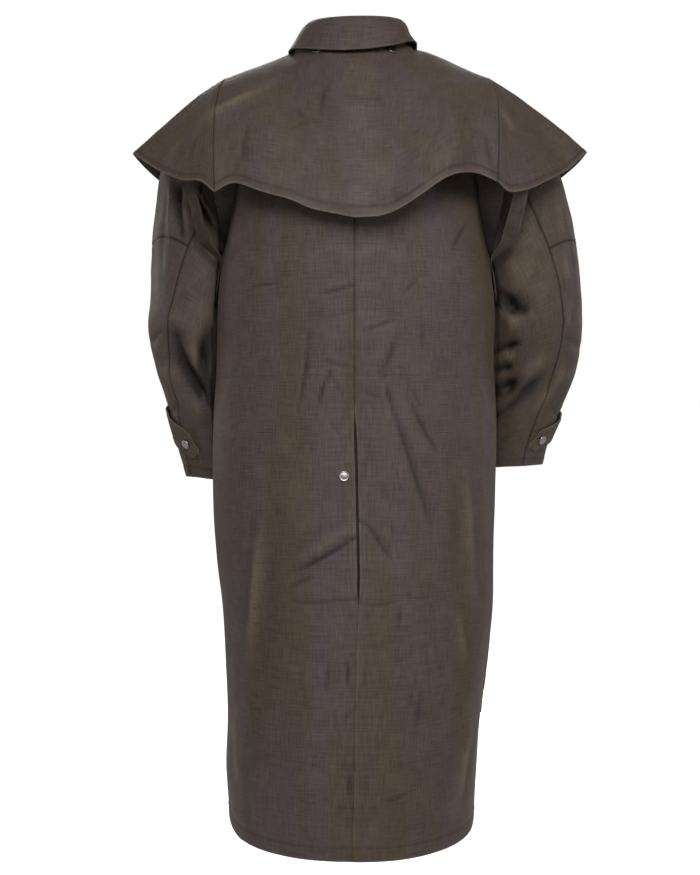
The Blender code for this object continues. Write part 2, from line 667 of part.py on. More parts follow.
def strap_place(side):
    rows = np.array([sewn_row(side, *STRAP_SEWN_BACK[side]), *([*middle, *width] for middle, width in STRAP),
                     sewn_row(side, *STRAP_SEWN_FRONT[side])])
    knots = np.linspace(0, 1, len(rows))

    def place(u, v, depth):
        read = smooth_values(knots, rows, v)
        ahead = smooth_values(knots, rows, v + 1e-3) - smooth_values(knots, rows, v - 1e-3)
        along = unit(ahead[:, :3])
        width = unit(read[:, 3:])
        square = width - np.sum(width * along, axis=1)[:, None] * along
        width += (unit(square) - width) * (ease(v, 0.0, 0.2) * ease(v, 1.0, 0.8))[:, None]
        facing = unit(np.cross(along, width))
        placed = read[:, :3] + width * ((u - 0.5) * STRAP_WIDTH)[:, None]
        placed[:, 0] = side * (placed[:, 0] + STRAP_SHIFT[side])
        wanted = (1 + STRAP_CLEARANCE / RING_HALF_WIDTH) / reach_of(placed)
        pinched = ease(placed[:, 2], -0.300, -0.335)
        scale = 1 + (wanted - 1) * pinched
        placed *= points(scale, scale, 1 + 0 * scale)
        return placed + facing * points(side + 0 * u, 1 + 0 * u, 1 + 0 * u) * (depth - CLOTH / 2)[:, None]
    return place


def gusset_place(u, v, depth):
    """The strip that closes the vent from inside, a little behind both edges."""
    x = (u - 0.5) * 0.11
    z = HEM_Z + 0.012 + (VENT_TOP_Z + 0.012 - HEM_Z - 0.012) * v
    surface, direction = body_surface(True), body_direction(True)
    q = q_of_x(x, 0.22)
    share = height_share(z)
    return surface(q, share) - direction(q, share) * (0.0026 + depth)[:, None]


def tab_middle(v):
    """The share of the sleeve's length at which the middle of the tab lies."""
    return 0.835 + 0.085 * v


def tab_place(side):
    """The cuff tab: it starts at the outer front of the cuff and slants down to a point at the back."""
    surface, direction = sleeve_surface(side), sleeve_direction(side)

    def place(u, v, depth):
        turn = math.pi + np.radians(TAB_START - TAB_SWEEP * v)
        point = 1 - 0.75 * ease(v, 0.86, 1.0)
        s = tab_middle(v) + (u - 0.5) * TAB_WIDTH * point
        held = np.clip(v / TAB_SNAP_AT, 0.0, 1.0)
        stand = TAB_SEAT + TAB_BOW * np.sin(math.pi * held) * (1 - 0.6 * u)
        return surface(turn, s) + direction(turn, s) * (stand + depth)[:, None]
    return place


def make_snap(name, wall, spot, facing, material, collection):
    """A snap's cap, a low dome with a rolled rim, set down on the wall under the spot."""
    rim = CAP_RADIUS
    profile = ((rim - 0.0012, 0.0), (rim, 0.0007), (rim - 0.0002, CAP_HEIGHT * 0.75),
               (rim - 0.0014, CAP_HEIGHT), (rim - 0.0026, CAP_HEIGHT * 0.80), (0.0, CAP_HEIGHT * 0.98))
    mesh = bpy.data.meshes.new(name)
    work = bmesh.new()
    ring = [work.verts.new((x, 0.0, z)) for x, z in ((0.0, 0.0), *profile)]
    edges = [work.edges.new(pair) for pair in zip(ring[:-1], ring[1:])]
    bmesh.ops.spin(work, geom=ring + edges, cent=(0, 0, 0), axis=(0, 0, 1), angle=2 * math.pi,
                   steps=14, use_merge=True, use_duplicate=False)
    bmesh.ops.remove_doubles(work, verts=work.verts[:], dist=1e-6)
    bmesh.ops.recalc_face_normals(work, faces=work.faces[:])
    work.to_mesh(mesh)
    work.free()
    mesh.shade_smooth()
    mesh.materials.append(material)
    obj = bpy.data.objects.new(name, mesh)
    turn = Vector(facing).to_track_quat("Z", "Y").to_matrix()
    seat = seat_height(wall, Vector(spot), turn) + SNAP_SEAT
    obj.matrix_world = Matrix.Translation(Vector(spot) + turn.col[2] * seat) @ turn.to_4x4()
    collection.objects.link(obj)
    return obj


def seat_height(wall, spot, turn):
    """How far above the spot the cloth reaches under a cap, looking down from its middle and its rim."""
    work = bmesh.new()
    work.from_mesh(wall.data)
    tree = BVHTree.FromBMesh(work)
    work.free()
    above = 0.03
    heights = []
    for radius in (0.0, CAP_RADIUS * 0.5, CAP_RADIUS):
        for step in range(12):
            around = step * math.pi / 6
            start = spot + turn @ Vector((radius * math.cos(around), radius * math.sin(around), above))
            distance = tree.ray_cast(start, -turn.col[2])[3]
            if distance is not None:
                heights.append(above - distance)
    return max(heights)


def on_surface(surface, direction, u, v):
    """A place on a panel and the way the panel faces there."""
    u, v = np.array([u], float), np.array([v], float)
    return surface(u, v)[0], direction(u, v)[0]


def make_body(collection, cloth):
    make_wall("back_left", back_place(1), (9, 20), CLOTH, cloth["oilskin_back"], collection)
    make_wall("back_right", back_place(-1), (9, 20), CLOTH, cloth["oilskin_back"], collection)
    make_wall("front_left", front_place(1), (9, 20), CLOTH, cloth["oilskin_front"], collection)
    make_wall("front_right", front_place(-1), (9, 20), CLOTH, cloth["oilskin_front"], collection)
    make_wall("vent_gusset", gusset_place, (4, 14), CLOTH, cloth["oilskin_trim"], collection)


def make_sleeves(collection, cloth):
    for side, name in ((1, "left"), (-1, "right")):
        for part, cells in (("upper", (10, UPPER_ROWS)), ("lower", (10, SLEEVE_ROWS - UPPER_ROWS)),
                            ("under", (12, SLEEVE_ROWS))):
            make_wall(f"sleeve_{name}_{part}", sleeve_place(side, part), cells, CLOTH,
                      cloth["oilskin_sleeve"], collection)
        make_wall(f"cuff_tab_{name}", tab_place(side), (2, 9), CLOTH, cloth["oilskin_trim"], collection)


def make_cape(collection, cloth):
    material = cloth["oilskin_cape"]
    make_wall("cape_back", cape_back_place, (26, 9), CLOTH, material, collection)
    for side, name in ((1, "left"), (-1, "right")):
        make_wall(f"cape_side_{name}", cape_side_place(side), (14, 9), CLOTH, material, collection)
        make_wall(f"cape_front_{name}", cape_front_place(side), (9, 9), CLOTH, material, collection)
        make_wall(f"arm_strap_{name}", strap_place(side), (1, 26), CLOTH, cloth["oilskin_trim"], collection)
    make_wall("collar", collar_place, (30, 12), COLLAR_CLOTH, cloth["oilskin_collar"], collection)


def make_snaps(collection, metal):
    pieces = collection.objects
    back, back_way = body_surface(True), body_direction(True)
    spot, way = on_surface(back, back_way, 0.0, height_share(VENT_SNAP_Z))
    spot[0] += VENT_SNAP_X
    make_snap("vent_snap", pieces["back_left"], spot, way, metal, collection)
    front, front_way = body_surface(False), body_direction(False)
    for number, z in enumerate(FRONT_SNAP_HEIGHTS, 1):
        spot, way = on_surface(front, front_way, 0.0, height_share(z))
        make_snap(f"front_snap_{number}", pieces["front_left"], spot, way, metal, collection)
    for side, name in ((1, "left"), (-1, "right")):
        spot, way = on_surface(cape_panel(side, True), cape_panel_direction(side, True), *CAPE_SNAP_AT[side])
        make_snap(f"cape_snap_{name}", pieces["cape_back"], spot, way, metal, collection)
        turn = math.pi + math.radians(TAB_START - TAB_SWEEP * TAB_SNAP_AT)
        way = on_surface(sleeve_surface(side), sleeve_direction(side), turn, tab_middle(TAB_SNAP_AT))[1]
        spot = tab_place(side)(np.array([0.5]), np.array([TAB_SNAP_AT]), np.array([CLOTH]))[0]
        make_snap(f"cuff_snap_{name}", pieces[f"cuff_tab_{name}"], spot, way, metal, collection)


def main():
    clear_scene()
    collection = bpy.data.collections.new("duster_coat")
    bpy.context.scene.collection.children.link(collection)
    cloth = {name: make_material(name, colour, 0.62) for name, colour in SKIN.items()}
    metal = make_material("snap_metal", (0.36, 0.33, 0.33), 0.35, 1.0)
    make_body(collection, cloth)
    make_sleeves(collection, cloth)
    make_cape(collection, cloth)
    make_snaps(collection, metal)


main()
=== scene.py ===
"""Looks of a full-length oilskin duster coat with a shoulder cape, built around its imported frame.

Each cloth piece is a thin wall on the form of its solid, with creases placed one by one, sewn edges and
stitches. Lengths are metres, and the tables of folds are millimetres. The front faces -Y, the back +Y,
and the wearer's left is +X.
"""

import logging
import math
from collections.abc import Callable
from dataclasses import dataclass
from enum import IntEnum

import bmesh
import bpy
import numpy as np
from mathutils import Matrix, Vector, noise
from mathutils.bvhtree import BVHTree


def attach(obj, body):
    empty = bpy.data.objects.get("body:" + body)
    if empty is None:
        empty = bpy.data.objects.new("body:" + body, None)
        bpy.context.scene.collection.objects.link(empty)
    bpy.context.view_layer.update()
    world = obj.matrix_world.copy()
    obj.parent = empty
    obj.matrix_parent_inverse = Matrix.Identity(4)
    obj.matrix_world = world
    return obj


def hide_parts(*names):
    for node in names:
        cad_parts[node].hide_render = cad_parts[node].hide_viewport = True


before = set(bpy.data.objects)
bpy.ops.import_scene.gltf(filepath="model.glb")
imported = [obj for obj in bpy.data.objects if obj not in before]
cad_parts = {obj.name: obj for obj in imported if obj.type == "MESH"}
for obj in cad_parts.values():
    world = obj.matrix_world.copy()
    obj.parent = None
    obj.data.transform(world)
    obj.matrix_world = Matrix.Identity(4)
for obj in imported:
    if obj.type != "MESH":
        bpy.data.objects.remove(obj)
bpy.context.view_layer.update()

Array = np.ndarray
Surface = Callable[[Array, Array], Array]
Colour = tuple[float, float, float]
Piece, Material = bpy.types.Object, bpy.types.Material
Tree, Node, Socket = bpy.types.NodeTree, bpy.types.Node, bpy.types.NodeSocket
Finishes = dict[str, Material]
LOG = logging.getLogger("duster_coat")
MM = 0.001

# Cloth and seams
CLOTH = 0.0016
COLLAR_CLOTH = 0.0020
SEAM_GAP = 0.0002
SEAM_END = 0.00002
TOP_MARGIN = 0.0018
DOUBLED = 0.0004
RIM_ROW = 0.0062
SEAM_ROW = 0.0065
STEP = 0.0006

# Heights, and the form round the body: BELOW is the share of a panel that lies below the underarm
UNDERARM_Z = -0.320
HEM_Z = -1.222
VENT_TOP_Z = -0.563
BACK_ROW_Z = -0.518
SHOULDER_SLOPE = 0.42
ROUNDNESS = 2.3
BELOW = 0.70


class Side(IntEnum):
    """The wearer's two sides, as the sign of X."""

    LEFT = 1
    RIGHT = -1

    @property
    def label(self) -> str:
        """The side's word in the names of pieces."""
        return self.name.lower()


class Face(IntEnum):
    """The back and the front of the coat, as the sign of Y."""

    BACK = 1
    FRONT = -1


class Outlook(IntEnum):
    """From where a table of folds is read: from behind, from the front or from the wearer's side."""

    BEHIND = 0
    BEFORE = 1
    BESIDE = 2


def points(x: Array, y: Array, z: Array) -> Array:
    """Rows of three coordinates from three columns."""
    return np.stack([x, y, z], axis=1)


def unit(vectors: Array) -> Array:
    """The same directions with a length of one."""
    return vectors / np.linalg.norm(vectors, axis=1, keepdims=True)


def columns_of(rows: Array, places: Array, run: Array) -> Array:
    """Rows of three read at places along a run."""
    return np.stack([np.interp(places, run, rows[:, axis]) for axis in range(3)], axis=1)


def signed_power(x: Array, power: float) -> Array:
    """A power of the size that keeps the sign."""
    return np.sign(x) * np.abs(x) ** power


def ease(x: Array | float, start: float, stop: float) -> Array:
    """A soft step.

    Args:
        x: Places to read.
        start: Where the step is 0; it may lie above stop.
        stop: Where the step is 1.

    Returns:
        Values from 0 to 1.
    """
    t = np.clip((np.asarray(x, float) - start) / (stop - start), 0.0, 1.0)
    return t * t * (3 - 2 * t)


def smooth_values(knots: Array, values: Array, at: Array) -> Array:
    """A smooth curve through a table.

    Args:
        knots: Rising places, one for each row.
        values: Rows of values.
        at: Places to read, past the ends too.

    Returns:
        A row of values for each place.
    """
    knots = np.asarray(knots, float)
    values = np.asarray(values, float).reshape(len(knots), -1)
    at = np.asarray(at, float)
    slopes = np.gradient(values, knots, axis=0)
    index = np.clip(np.searchsorted(knots, at, side="right") - 1, 0, len(knots) - 2)
    span = (knots[index + 1] - knots[index])[:, None]
    t = (at[:, None] - knots[index][:, None]) / span
    inside = np.clip(t, 0.0, 1.0)
    first = values[index] * (2 * inside**3 - 3 * inside**2 + 1)
    second = values[index + 1] * (3 * inside**2 - 2 * inside**3)
    lean = span * (slopes[index] * (inside**3 - 2 * inside**2 + inside))
    reach = span * (slopes[index + 1] * (inside**3 - inside**2))
    past = span * (t - inside) * np.where(t > 0.5, slopes[index + 1], slopes[index])
    return first + second + lean + reach + past


def bent(first: Array, second: Array, third: Array, fourth: Array, t: Array) -> Array:
    """Points at the places t of cubic curves, one curve for each row."""
    t = t[:, None]
    return (first * (1 - t) ** 3 + 3 * second * t * (1 - t) ** 2
            + 3 * third * t * t * (1 - t) + fourth * t**3)


def normals_of(surface: Surface, u: Array, v: Array, step: float = 2e-4) -> Array:
    """The direction square to a surface.

    Args:
        surface: The surface.
        u: First coordinates.
        v: Second coordinates.
        step: How far apart the surface is read.

    Returns:
        A unit vector for each place, on the side that the coordinates give.
    """
    along_u = surface(u + step, v) - surface(u - step, v)
    along_v = surface(u, v + step) - surface(u, v - step)
    return unit(np.cross(along_u, along_v))


def ripple(spots: Array, size: float, tall: float, seed: float) -> Array:
    """An uneven swelling of the cloth.

    Args:
        spots: Where the cloth lies.
        size: Width of a swelling, in metres.
        tall: How far it rises above the lengthwise measure of one.
        seed: A number that gives another pattern.

    Returns:
        Values of about -0.6 to 0.6.
    """
    scaled = spots / (size, size, size * tall) + (seed, 2.3 * seed, -1.7 * seed)
    return np.array([noise.noise(spot) for spot in scaled.tolist()])


@dataclass(frozen=True)
class Fold:
    """One crease, in millimetres, on the plane that it is seen on.

    Attributes:
        path: Points across and up.
        wide: Half its width.
        deep: Its height: below 0 it is a trough.
        ends: How much of it is left at its first and last point.
        lean: How much steeper its left side is than its right, from -1 to 1.
    """

    path: tuple[tuple[float, float], ...]
    wide: float
    deep: float
    ends: tuple[float, float] = (0.0, 0.0)
    lean: float = 0.0

    def height(self, across: Array, up: Array) -> Array:
        """The crease's height at each place.

        Args:
            across: Places across, in metres.
            up: Places up, in metres.

        Returns:
            Heights in metres.
        """
        knots = np.arange(len(self.path), dtype=float)
        fine = np.linspace(0.0, knots[-1], 5 * len(self.path))
        path = smooth_values(knots, np.array(self.path, float) * MM, fine)
        wide = self.wide * MM
        result = np.zeros(len(across))
        low, high = path.min(axis=0) - 5 * wide, path.max(axis=0) + 5 * wide
        near = np.flatnonzero((across > low[0]) & (across < high[0]) & (up > low[1]) & (up < high[1]))
        if not len(near):
            return result
        spots = np.stack([across[near], up[near]], axis=1)
        steps = np.diff(path, axis=0)
        lengths = np.linalg.norm(steps, axis=1)
        before = np.concatenate([[0.0], np.cumsum(lengths)])
        best = np.full(len(near), np.inf)
        signed, run = np.zeros(len(near)), np.zeros(len(near))
        for start, step, length, passed in zip(path, steps, lengths, before):
            offset = spots - start
            t = np.clip(offset @ step / length**2, 0.0, 1.0)
            gap = offset - t[:, None] * step
            distance = np.linalg.norm(gap, axis=1)
            nearer = distance < best
            turn = np.sign(step[0] * offset[:, 1] - step[1] * offset[:, 0])
            signed = np.where(nearer, turn * distance, signed)
            run = np.where(nearer, passed + t * length, run)
            best = np.minimum(best, distance)
        share = run / before[-1]
        head = self.ends[0] + (1 - self.ends[0]) * ease(share, 0.0, 0.45)
        tail = self.ends[1] + (1 - self.ends[1]) * ease(share, 1.0, 0.55)
        s = signed / wide
        s = s * (1 + self.lean * np.tanh(s))
        peak = np.exp(-(s**2)) if self.deep > 0 else np.exp(-((1.45 * np.abs(s)) ** 1.25))
        profile = 1.3 * peak - 0.3 * np.exp(-((s / 2.2) ** 2))
        result[near] = self.deep * MM * np.minimum(head, tail) * profile
        return result


def relief(folds: tuple[Fold, ...], across: Array, up: Array, narrow: float) -> tuple[Array, Array]:
    """The height of several creases together.

    Args:
        folds: The creases.
        across: Places across, in metres.
        up: Places up, in metres.
        narrow: Half width in millimetres up to which a crease counts as a line.

    Returns:
        The whole height, and the height of the lines alone.
    """
    whole, lines = np.zeros(len(across)), np.zeros(len(across))
    for fold in folds:
        height = fold.height(across, up)
        whole += height
        if fold.wide <= narrow:
            lines += height
    return whole, lines


def rubbing(lines: Array, deep: Array | float) -> Array:
    """Scuffing and painted light of a crease: above 0 scuffing and a painted highlight on its ridge, below 0
    painted shade in its trough.
    """
    share = lines / deep
    return 0.75 * np.clip(share, 0.0, 1.0) ** 1.5 - 0.8 * np.clip(-share, 0.0, 1.0)


def seam_line(distance: Array, width: float = 0.0012) -> Array:
    """1 on a seam's line and 0 beside it."""
    return np.exp(-((distance / width) ** 2))


@dataclass
class Lay:
    """How a stretch of cloth lies.

    Attributes:
        spots: Its outer points.
        facing: Which way it faces.
        proud: How far a doubled edge stands up.
        wear: Scuffing and painted light, from -1 to 1: below 0 painted shade in creases, seams and under the
            arms, above 0 scuffed edges and a painted highlight on ridges.
    """

    spots: Array
    facing: Array
    proud: Array
    wear: Array


Spread = Callable[[Array, Array], Lay]


def ticks(length: float, cell: float, marks: tuple[float, ...] = (), fine: float = STEP) -> Array:
    """Where the lines of a wall's grid run.

    Args:
        length: The wall's length that way.
        cell: Distance between even lines.
        marks: Places from the start that need a close pair of lines, such as a hem's upper edge.
        fine: Half the distance within a pair.

    Returns:
        Rising shares of the length, from 0 to 1.
    """
    even = np.linspace(0.0, length, max(2, round(length / cell)) + 1)
    close = np.array(sorted(mark + step for mark in marks for step in (-fine, fine)))
    if len(close):
        even = np.array([x for x in even if np.min(np.abs(close - x)) > 0.4 * cell or x in (0.0, length)])
    return np.unique(np.concatenate([even, close])) / length


def stand(name: str, data: bpy.types.ID) -> Piece:
    """A new object in the scene."""
    piece = bpy.data.objects.new(name, data)
    bpy.context.scene.collection.objects.link(piece)
    return piece


def mesh_of(work: bmesh.types.BMesh, name: str) -> bpy.types.Mesh:
    """A smooth mesh of finished work."""
    mesh = bpy.data.meshes.new(name)
    work.to_mesh(mesh)
    work.free()
    mesh.shade_smooth()
    return mesh


def make_wall(name: str, spread: Spread, across: Array, along: Array, thickness: float,
              size: tuple[float, float]) -> Piece:
    """A cloth wall: a flat slab that is laid where the cloth lies.

    Args:
        name: The piece's name.
        spread: How the cloth lies at shares across and along it.
        across: Grid lines across.
        along: Grid lines along.
        thickness: The cloth's thickness.
        size: Width and length of the flat cloth, for the UV map.

    Returns:
        The new object.
    """
    work = bmesh.new()
    bmesh.ops.create_grid(work, x_segments=len(across) - 1, y_segments=len(along) - 1, size=0.5)
    made = bmesh.ops.extrude_face_region(work, geom=work.faces[:], use_keep_orig=True)
    new = [item for item in made["geom"] if isinstance(item, bmesh.types.BMVert)]
    bmesh.ops.translate(work, verts=new, vec=(0, 0, -1))
    flat = np.array([vert.co[:] for vert in work.verts])
    u = np.interp(flat[:, 0] + 0.5, np.linspace(0, 1, len(across)), across)
    v = np.interp(flat[:, 1] + 0.5, np.linspace(0, 1, len(along)), along)
    lay = spread(u, v)
    inner = flat[:, 2] < -0.5
    depth = np.where(inner, thickness, -lay.proud)
    placed = lay.spots - lay.facing * depth[:, None]
    for vert, place in zip(work.verts, placed.tolist()):
        vert.co = place
    bmesh.ops.recalc_face_normals(work, faces=work.faces[:])
    if work.calc_volume(signed=True) < 0:
        bmesh.ops.reverse_faces(work, faces=work.faces[:])
    mesh = mesh_of(work, name)
    corner = np.empty(len(mesh.loops), np.int32)
    mesh.loops.foreach_get("vertex_index", corner)
    layer = mesh.uv_layers.new(name="cloth")
    layer.uv.foreach_set("vector", np.stack([u * size[0], v * size[1]], axis=1)[corner].ravel())
    mesh.attributes.new("wear", "FLOAT", "POINT").data.foreach_set("value", np.clip(lay.wear, -1, 1))
    mesh.set_sharp_from_angle(angle=math.radians(50))
    return stand(name, mesh)


def blank(name: str) -> tuple[Material, Tree, Node]:
    """A new material with its tree and its shader."""
    material = bpy.data.materials.new(name)
    material.use_nodes = True
    return material, material.node_tree, material.node_tree.nodes["Principled BSDF"]


def put(tree: Tree, kind: str, values: dict | None = None, **settings: object) -> Node:
    """A new shader node.

    Args:
        tree: Where it goes.
        kind: Its type, without the word ShaderNode.
        values: Values or sockets for its inputs, by name or number.
        settings: Its own properties.

    Returns:
        The node.
    """
    node = tree.nodes.new("ShaderNode" + kind)
    for key, value in settings.items():
        setattr(node, key, value)
    for key, value in (values or {}).items():
        if isinstance(value, Socket):
            tree.links.new(value, node.inputs[key])
        else:
            node.inputs[key].default_value = value
    return node


def arithmetic(tree: Tree, operation: str, first: Socket | float, second: Socket | float = 0.0) -> Socket:
    """The output of a math node on two numbers or sockets."""
    return put(tree, "Math", {0: first, 1: second}, operation=operation).outputs[0]


def blend(tree: Tree, factor: Socket, first: Socket | tuple, second: Colour) -> Socket:
    """A colour mixed into another."""
    return put(tree, "Mix", {"Factor": factor, "A": first, "B": (*second, 1)}, data_type="RGBA").outputs[2]


def stretch(tree: Tree, value: Socket, old: tuple[float, float], new: tuple[float, float]) -> Socket:
    """A value moved from its old range to a new one."""
    return put(tree, "MapRange", {"Value": value, "From Min": old[0], "From Max": old[1],
                                  "To Min": new[0], "To Max": new[1]}).outputs[0]


def tinted(tree: Tree, colour: Socket | Colour, shade: Socket) -> Socket:
    """A colour made lighter or darker."""
    return put(tree, "VectorMath", {0: colour, "Scale": shade}, operation="SCALE").outputs[0]


def new_group(name: str, inputs: dict[str, tuple[str, object]], outputs: dict[str, str]
              ) -> tuple[Tree, Node, Node]:
    """An empty shader node group.

    Args:
        name: Its name.
        inputs: For each input its socket type and value.
        outputs: For each output its socket type.

    Returns:
        The group, its input node and its output node.
    """
    tree = bpy.data.node_groups.new(name, "ShaderNodeTree")
    for label, (kind, value) in inputs.items():
        socket = tree.interface.new_socket(label, in_out="INPUT", socket_type="NodeSocket" + kind)
        socket.default_value = value
    for label, kind in outputs.items():
        tree.interface.new_socket(label, in_out="OUTPUT", socket_type="NodeSocket" + kind)
    return tree, tree.nodes.new("NodeGroupInput"), tree.nodes.new("NodeGroupOutput")


def weave_group() -> Tree:
    """Plain weave with uneven thick threads both ways, on a UV map in metres."""
    tree, start, end = new_group(
        "plain_weave",
        {"Vector": ("Vector", (0.0, 0.0, 0.0)), "Threads": ("Float", 900.0)},
        {"Height": "Float", "Tone": "Float"})
    split = put(tree, "SeparateXYZ", {0: start.outputs["Vector"]})
    turns = arithmetic(tree, "MULTIPLY", start.outputs["Threads"], math.pi)
    waves = [arithmetic(tree, "SINE", arithmetic(tree, "MULTIPLY", split.outputs[axis], turns))
             for axis in (0, 1)]
    bumps = arithmetic(tree, "MULTIPLY", *waves)
    slubs = []
    for scale in ((520.0, 34.0, 1.0), (30.0, 560.0, 1.0)):
        place = put(tree, "Mapping", {"Vector": start.outputs["Vector"], "Scale": scale})
        slubs.append(put(tree, "TexNoise", {"Vector": place.outputs[0], "Scale": 1.0, "Detail": 2.0,
                                            "Roughness": 0.6}).outputs[0])
    tone = arithmetic(tree, "MULTIPLY", arithmetic(tree, "ADD", *slubs), 0.5)
    height = arithmetic(tree, "ADD", arithmetic(tree, "MULTIPLY", bumps, 0.16), tone)
    tree.links.new(height, end.inputs["Height"])
    tree.links.new(tone, end.inputs["Tone"])
    return tree


def wax_group() -> Tree:
    """How the wax lies: lengthwise streaks where it is thick, and a blotchy mottle, on object places."""
    tree, start, end = new_group(
        "wax_patches", {"Vector": ("Vector", (0.0, 0.0, 0.0))}, {"Streaks": "Float", "Mottle": "Float"})
    place = put(tree, "Mapping", {"Vector": start.outputs["Vector"], "Scale": (15.0, 15.0, 1.1)})
    streaks = put(tree, "TexNoise", {"Vector": place.outputs[0], "Scale": 1.0, "Detail": 3.0,
                                     "Roughness": 0.55, "Distortion": 0.3})
    clear = stretch(tree, streaks.outputs[0], (0.38, 0.62), (0.0, 1.0))
    mottle = put(tree, "TexNoise", {"Vector": start.outputs["Vector"], "Scale": 26.0, "Detail": 4.0,
                                    "Roughness": 0.6})
    tree.links.new(clear, end.inputs["Streaks"])
    tree.links.new(mottle.outputs[0], end.inputs["Mottle"])
    return tree


@dataclass(frozen=True)
class Oilskin:
    """Waxed cotton: plum-brown cloth with olive-gold scuffing along its edges, olive-gold scuffing and a
    painted highlight on the ridges of its folds, and painted shade in its creases and seams.

    Attributes:
        slot: The record's slot, and the material's name.
        cool: Colour where the wax is thin.
        warm: Colour where the wax is thick.
        worn: Colour of scuffed edges, and of scuffing with a painted highlight on ridges.
        grime: Colour of painted shade at the bottom of creases and seams, under the arms and on the vent's
            strip.
        roughness: Mean roughness.
        thread_tones: How dark and how light single threads are, as shares of the colour.
    """

    slot: str
    cool: Colour = (0.0700, 0.0490, 0.0500)
    warm: Colour = (0.0620, 0.0440, 0.0280)
    worn: Colour = (0.150, 0.112, 0.072)
    grime: Colour = (0.0050, 0.0037, 0.0035)
    roughness: float = 0.62
    thread_tones: tuple[float, float] = (0.66, 1.34)

    def material(self, weave: Tree, wax: Tree) -> Material:
        """The finish as a material.

        Args:
            weave: The weave's node group.
            wax: The wax's node group.

        Returns:
            The material.
        """
        material, tree, shader = blank(self.slot)
        place = put(tree, "TexCoord")
        cloth = put(tree, "Group", node_tree=weave)
        tree.links.new(place.outputs["UV"], cloth.inputs["Vector"])
        patches = put(tree, "Group", node_tree=wax)
        tree.links.new(place.outputs["Object"], patches.inputs["Vector"])
        wear = put(tree, "Attribute", attribute_name="wear")
        mottle, worn = patches.outputs["Mottle"], wear.outputs["Fac"]
        colour = blend(tree, patches.outputs["Streaks"], (*self.cool, 1), self.warm)
        # Above 0 the attribute mixes in the scuffed colour: scuffed edges, and a painted highlight on ridges.
        rubbed_and_painted_light = arithmetic(tree, "MULTIPLY", worn, arithmetic(tree, "ADD", mottle, 0.35))
        colour = blend(tree, rubbed_and_painted_light, colour, self.worn)
        # Below 0 it mixes in painted shade: creases, seams, the armpits and the vent's strip.
        colour = blend(tree, arithmetic(tree, "MULTIPLY", worn, -1.0), colour, self.grime)
        shade = arithmetic(tree, "MULTIPLY",
                           stretch(tree, cloth.outputs["Tone"], (0.35, 0.65), self.thread_tones),
                           stretch(tree, mottle, (0.3, 0.7), (0.92, 1.08)))
        tree.links.new(tinted(tree, colour, shade), shader.inputs["Base Color"])
        rough = stretch(tree, mottle, (0.3, 0.7), (self.roughness + 0.07, self.roughness - 0.07))
        tree.links.new(rough, shader.inputs["Roughness"])
        bump = put(tree, "Bump", {"Height": cloth.outputs["Height"], "Strength": 0.45,
                                  "Distance": 0.0006})
        tree.links.new(bump.outputs[0], shader.inputs["Normal"])
        shader.inputs["Specular IOR Level"].default_value = 0.30
        shader.inputs["Sheen Weight"].default_value = 0.07
        shader.inputs["Sheen Roughness"].default_value = 0.40
        shader.inputs["Sheen Tint"].default_value = (0.62, 0.47, 0.27, 1.0)
        return material


@dataclass(frozen=True)
class Plain:
    """A plain finish with a little unevenness.

    Attributes:
        name: The material's name.
        colour: Its colour.
        roughness: Mean roughness.
        metallic: 1 for metal.
        grain: Size of its unevenness, as a noise scale.
        uneven: How much the colour varies.
        glow: Light that it gives off, for a studio floor.
    """

    name: str
    colour: Colour
    roughness: float
    metallic: float = 0.0
    grain: float = 900.0
    uneven: float = 0.25
    glow: float = 0.0

    def material(self) -> Material:
        """The finish as a material."""
        material, tree, shader = blank(self.name)
        place = put(tree, "TexCoord")
        grain = put(tree, "TexNoise", {"Vector": place.outputs["Object"], "Scale": self.grain,
                                       "Detail": 3.0}).outputs[0]
        shade = stretch(tree, grain, (0.3, 0.7), (1 - self.uneven, 1 + self.uneven))
        tree.links.new(tinted(tree, self.colour, shade), shader.inputs["Base Color"])
        rough = stretch(tree, grain, (0.3, 0.7), (self.roughness * 0.85, self.roughness * 1.15))
        tree.links.new(rough, shader.inputs["Roughness"])
        shader.inputs["Metallic"].default_value = self.metallic
        if self.glow:
            seen = put(tree, "LightPath").outputs["Is Camera Ray"]
            glow = arithmetic(tree, "MULTIPLY", seen, self.glow)
            shader.inputs["Emission Color"].default_value = (1, 1, 1, 1)
            tree.links.new(glow, shader.inputs["Emission Strength"])
        return material


def dress(piece: Piece, material: Material, slot: str, *nodes: str) -> None:
    """Gives a piece its finish and ties it to the frame.

    Args:
        piece: The new piece.
        material: Its material.
        slot: The record's slot; not used.
        nodes: The solids that it stands for.
    """
    piece.data.materials.clear()
    piece.data.materials.append(material)
    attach(piece, "root")
    if nodes:
        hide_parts(*nodes)
    LOG.info("%s: %d faces", piece.name, len(piece.data.polygons))


